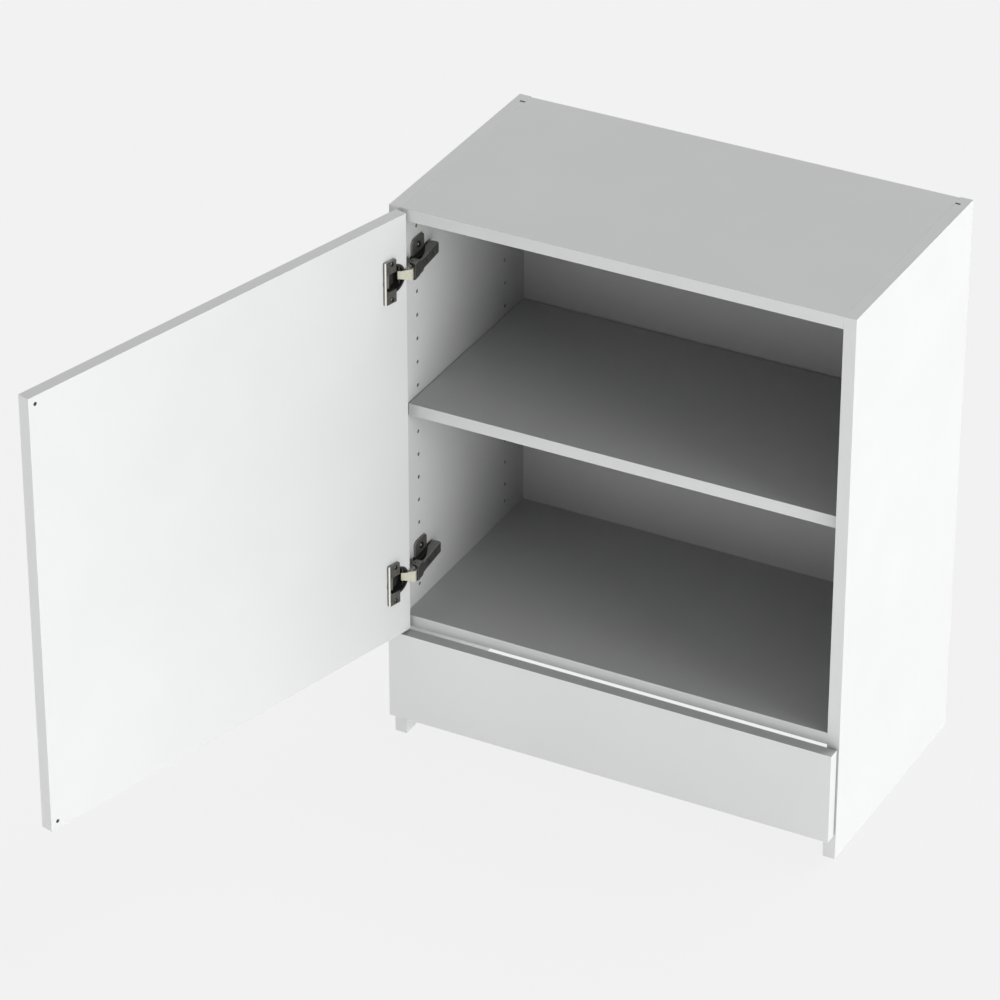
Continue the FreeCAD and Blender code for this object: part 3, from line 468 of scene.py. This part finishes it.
def eased_board(node, name, body, thin_axis):
    """A board lying square, eased, with a finish on each face, put back where the CAD has it."""
    lay_square = DOOR_SQUARED if body == "door" else Matrix.Identity(4)
    mesh = merged_copy(node)
    mesh.transform(lay_square)
    weigh_edges(mesh, long_and_sharp)
    piece = ease(as_piece(mesh, name, [melamine_face, edge_band, chipboard]), EASING)
    corners = [vertex.co for vertex in piece.data.vertices]
    low = [min(corner[axis] for corner in corners) for axis in range(3)]
    high = [max(corner[axis] for corner in corners) for axis in range(3)]
    for face in piece.data.polygons:
        broad = on_outside(face.center, low, high, thin_axis)
        outside = any(on_outside(face.center, low, high, axis) for axis in range(3))
        face.material_index = 0 if broad else 1 if outside else 2
    piece.data.transform(lay_square.inverted())
    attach(piece, body)
    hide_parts(node)
    return piece


for node, (name, body, thin_axis) in BOARDS.items():
    board = eased_board(node, name, body, thin_axis)
    print(f"{name}: {len(board.data.polygons)} faces")

# %% [markdown]
# ## The back sheet
# The back is a thin hardboard sheet in grooves. It is white on the side that faces the inside, and its
# rear face is left as pressed: brown, with short fibres.

# %% Ease the back sheet
SHEET_EASING = 0.2 * MM
back_mesh = merged_copy("back_panel")
weigh_edges(back_mesh, long_and_sharp)
back_sheet = ease(as_piece(back_mesh, "back_sheet", [sheet_face, hardboard_back]), SHEET_EASING)
for face in back_sheet.data.polygons:
    face.material_index = 0 if face.normal.y < -0.5 else 1
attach(back_sheet, "carcass")
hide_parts("back_panel")
print("back sheet:", len(back_sheet.data.polygons), "faces")

# %% [markdown]
# ## Small fittings that CAD already draws
# The plinth's brackets are bent strips, the shelf pins are turned, and the cams are cast. Their solids
# are right, so each is copied. The brackets and pins have only their edges rounded as the making rounds
# them: a bend has an outer radius, a turned head has a chamfer. The cams keep their edges and get their
# cross slots cut. What is hidden in the boards keeps its CAD mesh.

# %% Round the brackets and pins
def smooth_by_angle(piece, degrees=40):
    """Smooth shading that keeps flat faces flat, with sharp lines where the shape turns hard."""
    data = piece.data
    data.shade_smooth()
    data.set_sharp_from_angle(angle=math.radians(degrees))
    weighted = piece.modifiers.new("flat_faces", "WEIGHTED_NORMAL")
    weighted.keep_sharp = True
    return settle(piece)


def rounded_fitting(node, name, body, finish, width, rule=crisp, segments=3, work=None):
    """A copy of a node with rounded edges, worked on first by a function of its own where it needs one."""
    mesh = merged_copy(node)
    if work:
        work(mesh)
    weigh_edges(mesh, rule)
    piece = ease(as_piece(mesh, name, [finish]), width, segments)
    smooth_by_angle(piece)
    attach(piece, body)
    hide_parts(node)
    return piece


for side in ("left", "right"):
    rounded_fitting(f"{side}_plinth_bracket", f"{side}_bracket_angle", "carcass", zinc,
                    width=0.35 * MM)
rounded_fitting("shelf_pins", "shelf_pin_set", "carcass", zinc, width=0.6 * MM)
print("brackets and pins rounded")

# %% Cut the cross slots of the cams
CAM_RADIUS = 7.4 * MM
CAM_HEIGHT = 12.5 * MM
SLOT_LENGTH = 8 * MM
SLOT_WIDTH = 1.4 * MM
SLOT_SINK = 5 * MM


def box_cutter(mesh, centre, size):
    place = Matrix.Translation(centre) @ Matrix.Diagonal((*size, 1))
    bmesh.ops.create_cube(mesh, size=1, matrix=place)


cam_low, cam_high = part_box("cam_locks")
cutters = bmesh.new()
for x in (cam_low.x + CAM_RADIUS, cam_high.x - CAM_RADIUS):
    for y in (cam_low.y + CAM_RADIUS, cam_high.y - CAM_RADIUS):
        for z in (cam_low.z, cam_high.z - CAM_HEIGHT):
            for size in ((SLOT_LENGTH, SLOT_WIDTH, SLOT_SINK), (SLOT_WIDTH, SLOT_LENGTH, SLOT_SINK)):
                box_cutter(cutters, (x, y, z), size)
cross = as_piece(cutters, "cross_slots", [])
cams = as_piece(merged_copy("cam_locks"), "cam_set", [cast_zinc])
cut = cams.modifiers.new("slots", "BOOLEAN")
cut.operation = "DIFFERENCE"
cut.solver = "EXACT"
cut.use_self = True
cut.object = cross
settle(cams)
bpy.data.objects.remove(cross)
smooth_by_angle(cams)
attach(cams, "carcass")
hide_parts("cam_locks")
print("cams:", len(cams.data.polygons), "faces")

# %% Finish what is hidden in the boards
def refinish(node, finish):
    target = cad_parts[node]
    if not target.material_slots:
        target.data.materials.append(finish)
    for material_slot in target.material_slots:
        material_slot.material = finish


refinish("corner_dowels", beech)
refinish("cam_bolts", zinc)
print("hidden nodes finished")

# %% [markdown]
# ## The concealed hinges
# Each hinge is pressed from sheet steel: a winged plate on the side panel, a channel-shaped arm clipped
# over it, a bright link round the door's edge and a drawn cup in the door. Pressed sheet has a bend radius
# everywhere. The plate, link, cup and damper follow their solids with rounded edges. The arm is lofted
# from sections, because a bend that narrows along its length can't be got by rounding a block. Its skirts
# are deep at the rear and cut back to a lip in the middle, so that one looks into the dark channel. Light
# and shade are painted on the dark coat: a paler coat on the arm's upper flank and on the rims of the plate
# is a painted highlight, and a darker one on the arm's back and a near-black one on the plate's band under
# the arm are painted shade.

# %% Where the hinges are
HINGES = {}
for which in ("upper", "lower"):
    low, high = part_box(f"{which}_hinge_arm")
    HINGES[which] = (low.z + high.z) / 2
print("hinge heights:", HINGES)

ARM_TIP = -0.9 * MM
ARM_END = 67.5 * MM
TIP_OFF = 19.6 * MM
END_OFF = 13.6 * MM
ARM_SLOPE = (END_OFF - TIP_OFF) / (ARM_END - ARM_TIP)


def web_off(depth):
    """How far the arm's back stands off the side panel at a depth behind the front."""
    return TIP_OFF + ARM_SLOPE * (depth - ARM_TIP)


# %% Loft the arms
WALL = 1.4 * MM
BEND = 2.2 * MM
BEND_STEPS = 5
TRACK = 3.7 * MM
TRACK_FROM = 24 * MM
TRACK_TO = 56 * MM
TRACK_RIM = 0.6 * MM
TRACK_SINK = 0.5 * MM


def channel_section(web, half_width, skirt, bend):
    """Points of a U from one skirt's edge over the web to the other, as (off, height)."""
    points = [(skirt, half_width), ((skirt + web - bend) / 2, half_width)]
    for step in range(BEND_STEPS + 1):
        turn = math.radians(90 * step / BEND_STEPS)
        points.append((web - bend + bend * math.sin(turn), half_width - bend + bend * math.cos(turn)))
    points.append((web, TRACK))
    return points + [(off, -height) for off, height in reversed(points)]


def arm_stations():
    """Depth, half width, skirt and lean of the front end along the arm, from its tip to its rear end."""
    head, body = 11 * MM, 7.6 * MM
    throat, lip, skirt = 8.3 * MM, 14.4 * MM, 3.5 * MM
    lean = 0.254
    return [
        (ARM_TIP, head, throat, lean), (4 * MM, head, throat, 0.08), (8 * MM, head, throat, 0),
        (11.5 * MM, head, 9 * MM, 0), (12.8 * MM, 0.85 * head + 0.15 * body, 10.5 * MM, 0),
        (14.2 * MM, 0.5 * (head + body), 12 * MM, 0), (15.6 * MM, 0.15 * head + 0.85 * body, 13.2 * MM, 0),
        (17 * MM, body, 14 * MM, 0), (18.5 * MM, body, lip, 0), (TRACK_FROM, body, lip, 0),
        (32 * MM, body, 12.4 * MM, 0), (40 * MM, body, 9.4 * MM, 0), (48 * MM, body, 5.6 * MM, 0),
        (52 * MM, body, 4 * MM, 0), (TRACK_TO, body, skirt, 0), (ARM_END, body, skirt, 0),
    ]


def channel_rows(mesh, inset):
    """The channel's skin, moved inwards by an inset, as rows of vertices along the arm."""
    rows = []
    for depth, half_width, skirt, lean in arm_stations():
        depth = min(depth, ARM_END - inset)
        web = web_off(depth) - inset
        row = []
        for off, height in channel_section(web, half_width - inset, skirt, BEND - inset):
            row.append(mesh.verts.new((off, depth + lean * (web - off), height)))
        rows.append(row)
    return rows


def strip(mesh, row, following):
    """Faces between two rows of vertices."""
    for index in range(len(row) - 1):
        mesh.faces.new((row[index], row[index + 1], following[index + 1], following[index]))


def arm_channel():
    """Two skins joined along the skirts and the tip, with a closed rear end and a sunk track."""
    mesh = bmesh.new()
    outer = channel_rows(mesh, 0)
    inner = channel_rows(mesh, WALL)
    for rows in (outer, inner):
        for row, following in zip(rows, rows[1:]):
            strip(mesh, row, following)
    for side in (0, -1):
        strip(mesh, [row[side] for row in outer], [row[side] for row in inner])
    strip(mesh, outer[0], inner[0])
    mesh.faces.new(outer[-1])
    mesh.faces.new(inner[-1])
    mesh.faces.new((outer[-1][0], outer[-1][-1], inner[-1][-1], inner[-1][0]))
    bmesh.ops.recalc_face_normals(mesh, faces=mesh.faces)
    middle = len(outer[0]) // 2
    stations = [station[0] for station in arm_stations()]
    first, last = stations.index(TRACK_FROM), stations.index(TRACK_TO)
    corners = {vertex for row in outer[first:last + 1] for vertex in row[middle - 1:middle + 1]}
    track = [face for face in mesh.faces if all(vertex in corners for vertex in face.verts)]
    bmesh.ops.inset_region(mesh, faces=track, thickness=TRACK_RIM, depth=-TRACK_SINK)
    return mesh


ARM_ROUNDING = 1.0 * MM
SMALL_SHARE = 0.25
END_SLACK = 0.01 * MM
MOSTLY = 0.6
WEB_FACING = 0.8


def arm_edges(edge):
    """Rounds the rear end well and the other hard edges a little."""
    at_end = all(vertex.co.y > ARM_END - END_SLACK for vertex in edge.verts)
    return crisp(edge) * (1.0 if at_end else SMALL_SHARE)


for which, height in HINGES.items():
    mesh = arm_channel()
    weigh_edges(mesh, arm_edges)
    channel = as_piece(mesh, f"{which}_arm_channel", [dark_coat, highlight_paint, web_shade_paint])
    arm = ease(channel, ARM_ROUNDING, segments=3)
    # Painted light: the arm's upper flank gets the paler coat as a painted highlight, and the web facing
    # right gets the darker coat as painted shade.
    for face in arm.data.polygons:
        if face.normal.z > MOSTLY and face.center.z > 0:
            face.material_index = 1
        elif face.normal.x > WEB_FACING:
            face.material_index = 2
    arm.data.transform(Matrix.Translation((LEFT_INNER, FRONT, height)))
    smooth_by_angle(arm)
    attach(arm, "carcass")
    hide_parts(f"{which}_hinge_arm")
    print(f"{which} arm: {len(arm.data.polygons)} faces")

# %% Round the plates, links, dampers and rivets
OFF_BOARD = 0.1 * MM
PLATE_FACING = 0.97
ARM_SHADOW_BAND = 9 * MM
EYE_REACH = 3.6 * MM
ARM_EYE = Vector((LEFT_INNER + 12.07 * MM, FRONT + 3.98 * MM))


def plate_edges(edge):
    """Leaves the plate's underside square on the board."""
    lifted = any(vertex.co.x > LEFT_INNER + OFF_BOARD for vertex in edge.verts)
    return crisp(edge) if lifted else 0.0


for which, height in HINGES.items():
    plate = rounded_fitting(f"{which}_hinge_mounting_plate", f"{which}_plate_wing", "carcass",
                            dark_coat, width=0.9 * MM, rule=plate_edges)
    plate.data.materials.append(highlight_paint)
    plate.data.materials.append(painted_shade_black)
    # Painted light: the plate's band under the arm gets the near-black coat as its painted shadow, and its
    # rims get the paler coat as a painted highlight.
    for face in plate.data.polygons:
        if abs(face.center.z - height) < ARM_SHADOW_BAND:
            face.material_index = 2
        elif face.normal.x < PLATE_FACING:
            face.material_index = 1
    link = rounded_fitting(f"{which}_hinge_link", f"{which}_link_strip", "hinge_links",
                           nickel, width=0.35 * MM)
    link.data.materials.append(dull_nickel_paint)
    # Painted light: the eye round the arm's pin and the faces that turn right get the greyer copy of the
    # nickel, as painted shade.
    for face in link.data.polygons:
        by_the_pin = (face.center.xy - ARM_EYE).length < EYE_REACH
        face.material_index = 1 if by_the_pin or face.normal.x > MOSTLY else 0
    rounded_fitting(f"{which}_hinge_damper", f"{which}_damper_case", "door",
                    damper_plastic, width=0.9 * MM)
    rounded_fitting(f"{which}_hinge_arm_pin", f"{which}_arm_rivet", "carcass",
                    screw_coat, width=0.45 * MM)
    rounded_fitting(f"{which}_hinge_cup_pin", f"{which}_cup_rivet", "door",
                    screw_coat, width=0.3 * MM)
print("plates, links, dampers and rivets rounded")

# %% [markdown]
# ## The cups
# A cup's flange is a thick pressing whose long edge, on the side away from the hinge, leans outwards and
# carries a painted highlight, a near-white metal. A plane cuts that strip off the flange's top, and its
# outer points are lowered. The flange's other rims get a small rounding and a paler coat as a painted
# highlight, and the inside of the cup gets a near-black coat as painted shade.

# %% Lean the flange's far edge and round the cups
FLANGE_TOP = 4.0 * MM
FLANGE_FAR = 39.8 * MM
CUP_AXIS = 21.5 * MM
CUP_BORE = 16.6 * MM
BORE_LIP = 0.3 * MM
STRIP = 1.5 * MM
LEAN = 0.8
LEANING = 0.35
ON_PLANE = 1e-7


def lean_far_edge(mesh):
    """Cuts the strip off the flange's top and lowers its outer points."""
    mesh.transform(DOOR_SQUARED)
    start = FLANGE_FAR - STRIP
    everything = mesh.verts[:] + mesh.edges[:] + mesh.faces[:]
    bmesh.ops.bisect_plane(mesh, geom=everything, dist=ON_PLANE, plane_co=(start, 0, 0), plane_no=(1, 0, 0))
    for vertex in mesh.verts:
        if vertex.co.x > start and vertex.co.y > FLANGE_TOP - OFF_BOARD:
            vertex.co.y -= LEAN * (vertex.co.x - start)
    mesh.transform(DOOR)


def off_the_board(edge):
    """Leaves the edges that lie on the door square."""
    lowest = min((DOOR_SQUARED @ vertex.co).y for vertex in edge.verts)
    return crisp(edge) if lowest > OFF_BOARD else 0.0


for which, height in HINGES.items():
    cup = rounded_fitting(f"{which}_hinge_cup", f"{which}_cup_shell", "door", dark_coat,
                          width=0.35 * MM, rule=off_the_board, work=lean_far_edge)
    for finish in (strip_highlight_paint, painted_shade_black, highlight_paint):
        cup.data.materials.append(finish)
    axis = Vector((CUP_AXIS, 0, height))
    # Painted light: the leaning far strip gets the near-white metal as a painted highlight, the inside of
    # the cup gets the near-black coat as painted shade, and the other rims get the paler coat as a painted
    # highlight.
    for face in cup.data.polygons:
        place = DOOR_SQUARED @ face.center
        facing = DOOR_SQUARED.to_3x3() @ face.normal
        leaning = facing.x > LEANING and facing.y > LEANING
        in_the_cup = (place - axis).xz.length < CUP_BORE and place.y < FLANGE_TOP - BORE_LIP
        if leaning and place.x > FLANGE_FAR - STRIP:
            face.material_index = 1
        elif in_the_cup:
            face.material_index = 2
        elif place.y > OFF_BOARD and max(facing.x, facing.z) > MOSTLY:
            face.material_index = 3
    bright_faces = sum(face.material_index == 1 for face in cup.data.polygons)
    print(f"{which} cup: {len(cup.data.polygons)} faces, {bright_faces} of them bright")

# %% [markdown]
# ## The screws
# All the screws have domed heads with a cross recess, in five sizes, and each stands at its own angle as
# a driver left it. One Geometry Nodes tree makes them all: a cylinder drawn in towards its top is the
# dome, two crossed blocks cut the recess, and the finished screw is set on every point that it is given.

# %% Tools for the screw tree
SCREW_SIDES = 24
DOME_RINGS = 6


def number_node(tree, operation, first, second):
    node = tree.nodes.new("ShaderNodeMath")
    node.operation = operation
    for socket, value in zip(node.inputs, (first, second)):
        if isinstance(value, bpy.types.NodeSocket):
            tree.links.new(value, socket)
        elif value is not None:
            socket.default_value = value
    return node.outputs[0]


def vector_node(tree, *parts):
    node = tree.nodes.new("ShaderNodeCombineXYZ")
    for socket, value in zip(node.inputs, parts):
        if isinstance(value, bpy.types.NodeSocket):
            tree.links.new(value, socket)
        else:
            socket.default_value = value
    return node.outputs[0]


def moved(tree, geometry, offset):
    node = tree.nodes.new("GeometryNodeTransform")
    tree.links.new(geometry, node.inputs["Geometry"])
    tree.links.new(offset, node.inputs["Translation"])
    return node.outputs[0]


def bar(tree, radius, length, rings=1):
    node = tree.nodes.new("GeometryNodeMeshCylinder")
    node.inputs["Vertices"].default_value = SCREW_SIDES
    node.inputs["Side Segments"].default_value = rings
    tree.links.new(radius, node.inputs["Radius"])
    tree.links.new(length, node.inputs["Depth"])
    return node.outputs["Mesh"]


print("a screw's head has", SCREW_SIDES, "sides and", DOME_RINGS, "rings")

# %% Start the screw tree with its inputs
SCREW_SIZES = ("Head Diameter", "Head Height", "Shank Diameter", "Shank Length", "Recess Width")
screw_tree = bpy.data.node_groups.new("cross_recess_screws", "GeometryNodeTree")
screw_tree.is_modifier = True
sockets = {}
screw_tree.interface.new_socket("Points", in_out="INPUT", socket_type="NodeSocketGeometry")
screw_inputs = {title: "NodeSocketFloat" for title in SCREW_SIZES}
screw_inputs |= {"Seed": "NodeSocketInt", "Finish": "NodeSocketMaterial"}
for title, kind in screw_inputs.items():
    item = screw_tree.interface.new_socket(title, in_out="INPUT", socket_type=kind)
    sockets[title] = item.identifier
screw_tree.interface.new_socket("Screws", in_out="OUTPUT", socket_type="NodeSocketGeometry")
given = screw_tree.nodes.new("NodeGroupInput").outputs
print("screw tree inputs:", list(sockets))

# %% Turn the head
DRAWN_IN = 0.72
radius = number_node(screw_tree, "MULTIPLY", given["Head Diameter"], 0.5)
half_head = number_node(screw_tree, "MULTIPLY", given["Head Height"], 0.5)
blank = moved(screw_tree, bar(screw_tree, radius, given["Head Height"], rings=DOME_RINGS),
              vector_node(screw_tree, 0, 0, half_head))
where = screw_tree.nodes.new("GeometryNodeInputPosition").outputs[0]
parts = screw_tree.nodes.new("ShaderNodeSeparateXYZ")
screw_tree.links.new(where, parts.inputs[0])
rise = number_node(screw_tree, "DIVIDE", parts.outputs["Z"], given["Head Height"])
drawn_in = number_node(screw_tree, "MULTIPLY", number_node(screw_tree, "MULTIPLY", rise, rise), DRAWN_IN)
share = number_node(screw_tree, "SQRT", number_node(screw_tree, "SUBTRACT", 1.0, drawn_in), None)
domed = vector_node(screw_tree, number_node(screw_tree, "MULTIPLY", parts.outputs["X"], share),
                    number_node(screw_tree, "MULTIPLY", parts.outputs["Y"], share), parts.outputs["Z"])
dome = screw_tree.nodes.new("GeometryNodeSetPosition")
screw_tree.links.new(blank, dome.inputs["Geometry"])
screw_tree.links.new(domed, dome.inputs["Position"])
print("head:", len(screw_tree.nodes), "nodes so far")

# %% Cut the cross recess
RECESS_SPAN = 0.56
RECESS_SINK = 1.1
recess = screw_tree.nodes.new("GeometryNodeMeshBoolean")
recess.operation = "DIFFERENCE"
recess.solver = "EXACT"
screw_tree.links.new(dome.outputs[0], recess.inputs["Mesh 1"])
span = number_node(screw_tree, "MULTIPLY", given["Head Diameter"], RECESS_SPAN)
sink = number_node(screw_tree, "MULTIPLY", given["Head Height"], RECESS_SINK)
for sizes in ((span, given["Recess Width"], sink), (given["Recess Width"], span, sink)):
    block = screw_tree.nodes.new("GeometryNodeMeshCube")
    screw_tree.links.new(vector_node(screw_tree, *sizes), block.inputs["Size"])
    raised = moved(screw_tree, block.outputs["Mesh"], vector_node(screw_tree, 0, 0, given["Head Height"]))
    screw_tree.links.new(raised, recess.inputs["Mesh 2"])
print("recess:", len(screw_tree.nodes), "nodes so far")

# %% Add the shank and set the screws on their points
half_shank = number_node(screw_tree, "MULTIPLY", given["Shank Length"], -0.5)
shank_radius = number_node(screw_tree, "MULTIPLY", given["Shank Diameter"], 0.5)
shank = moved(screw_tree, bar(screw_tree, shank_radius, given["Shank Length"]),
              vector_node(screw_tree, 0, 0, half_shank))
whole = screw_tree.nodes.new("GeometryNodeJoinGeometry")
screw_tree.links.new(recess.outputs["Mesh"], whole.inputs[0])
screw_tree.links.new(shank, whole.inputs[0])

outward = screw_tree.nodes.new("GeometryNodeInputNamedAttribute")
outward.data_type = "FLOAT_VECTOR"
outward.inputs["Name"].default_value = "outward"
facing = screw_tree.nodes.new("FunctionNodeAlignRotationToVector")
facing.axis = "Z"
direction = next(out for out in outward.outputs if out.enabled and out.name == "Attribute")
screw_tree.links.new(direction, facing.inputs["Vector"])
chance = screw_tree.nodes.new("FunctionNodeRandomValue")
chance.data_type = "FLOAT"
lowest, highest = [item for item in chance.inputs if item.enabled and item.name in ("Min", "Max")]
lowest.default_value = 0.0
highest.default_value = math.tau
screw_tree.links.new(given["Seed"], chance.inputs["Seed"])
driven = next(out for out in chance.outputs if out.enabled)
spin = screw_tree.nodes.new("FunctionNodeEulerToRotation")
screw_tree.links.new(vector_node(screw_tree, 0, 0, driven), spin.inputs[0])
turned = screw_tree.nodes.new("FunctionNodeRotateRotation")
turned.rotation_space = "LOCAL"
screw_tree.links.new(facing.outputs[0], turned.inputs["Rotation"])
screw_tree.links.new(spin.outputs[0], turned.inputs["Rotate By"])

placed = screw_tree.nodes.new("GeometryNodeInstanceOnPoints")
screw_tree.links.new(given["Points"], placed.inputs["Points"])
screw_tree.links.new(whole.outputs[0], placed.inputs["Instance"])
screw_tree.links.new(turned.outputs[0], placed.inputs["Rotation"])
real = screw_tree.nodes.new("GeometryNodeRealizeInstances")
screw_tree.links.new(placed.outputs[0], real.inputs["Geometry"])
coated = screw_tree.nodes.new("GeometryNodeSetMaterial")
screw_tree.links.new(real.outputs[0], coated.inputs["Geometry"])
screw_tree.links.new(given["Finish"], coated.inputs["Material"])
screws_out = screw_tree.nodes.new("NodeGroupOutput")
screw_tree.links.new(coated.outputs[0], screws_out.inputs["Screws"])
print("screw tree nodes:", len(screw_tree.nodes))

# %% Drive in the screws
def drive_screws(name, body, node, finish, sizes, places, seed):
    """Sets a screw of the given sizes, in millimetres, on each place: a seat and an outward direction."""
    points = bpy.data.meshes.new(name)
    points.from_pydata([seat for seat, facing_out in places], [], [])
    directions = points.attributes.new("outward", "FLOAT_VECTOR", "POINT")
    for entry, (seat, facing_out) in zip(directions.data, places):
        entry.vector = facing_out
    piece = bpy.data.objects.new(name, points)
    scene.collection.objects.link(piece)
    made = piece.modifiers.new("screws", "NODES")
    made.node_group = screw_tree
    for title, value in zip(SCREW_SIZES, sizes):
        made[sockets[title]] = value * MM
    made[sockets["Seed"]] = seed
    made[sockets["Finish"]] = finish
    settle(piece)
    smooth_by_angle(piece)
    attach(piece, body)
    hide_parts(node)
    print(f"{name}: {len(places)} screws, {len(piece.data.polygons)} faces")


# %% Screws of the back sheet and the plinth's brackets
BACK_SCREW = (6.0, 1.5, 2.5, 15.0, 0.9)
BACK_SCREW_HEIGHT = 168 * MM
BRACKET_SCREW = (6.4, 2.0, 3.0, 12.0, 1.0)
BRACKET_HEIGHTS = (80 * MM, 110 * MM)
LEG_OFF, LEG_DEPTH = 282 * MM, 20 * MM
FOOT_OFF = 262 * MM
BACKWARDS = Vector((0, 1, 0))
back_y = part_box("back_panel")[1].y
back_places = []
for x in (-240, -120, 0, 120, 240):
    back_places.append((Vector((x * MM, back_y, BACK_SCREW_HEIGHT)), BACKWARDS))
drive_screws("back_sheet_screws", "carcass", "back_panel_screws", zinc,
             BACK_SCREW, back_places, seed=1)

bracket_places = []
for sign in (-1, 1):
    for z in BRACKET_HEIGHTS:
        bracket_places.append((Vector((sign * LEG_OFF, FRONT + LEG_DEPTH, z)), Vector((-sign, 0, 0))))
        bracket_places.append((Vector((sign * FOOT_OFF, FRONT, z)), BACKWARDS))
drive_screws("bracket_screw_set", "carcass", "plinth_bracket_screws", zinc,
             BRACKET_SCREW, bracket_places, seed=2)

# %% Screws of the hinges
PLATE_SCREW = (9.0, 2.2, 4.9, 12.0, 1.4)
PLATE_SEAT = Vector((2.5 * MM, 37 * MM, 16 * MM))
CUP_SCREW = (6.4, 1.2, 3.4, 9.0, 1.0)
CUP_SCREW_INSET, CUP_SCREW_REACH = 29 * MM, 23.5 * MM
ADJUSTER = (5.2, 1.1, 4.0, 4.0, 0.9)
ADJUSTER_DEPTHS = (30 * MM, 50 * MM)
OUT_OF_DOOR = DOOR.to_3x3() @ BACKWARDS
WEB_NORMAL = Vector((1, -ARM_SLOPE, 0)).normalized()
for seed, (which, height) in enumerate(HINGES.items(), start=3):
    plate_places = []
    cup_places = []
    for side in (-1, 1):
        plate_seat = Vector((LEFT_INNER + PLATE_SEAT.x, FRONT + PLATE_SEAT.y, height + side * PLATE_SEAT.z))
        plate_places.append((plate_seat, Vector((1, 0, 0))))
        cup_seat = DOOR @ Vector((CUP_SCREW_INSET, FLANGE_TOP, height + side * CUP_SCREW_REACH))
        cup_places.append((cup_seat, OUT_OF_DOOR))
    web_places = []
    for depth in ADJUSTER_DEPTHS:
        off = LEFT_INNER + web_off(depth) - TRACK_SINK
        web_places.append((Vector((off, FRONT + depth, height)), WEB_NORMAL))
    drive_screws(f"{which}_plate_screw_pair", "carcass", f"{which}_hinge_plate_screws",
                 screw_coat, PLATE_SCREW, plate_places, seed)
    drive_screws(f"{which}_cup_screw_pair", "door", f"{which}_hinge_cup_screws",
                 screw_coat, CUP_SCREW, cup_places, seed + 10)
    drive_screws(f"{which}_adjuster_pair", "carcass", f"{which}_hinge_adjusting_screws",
                 screw_coat, ADJUSTER, web_places, seed + 20)
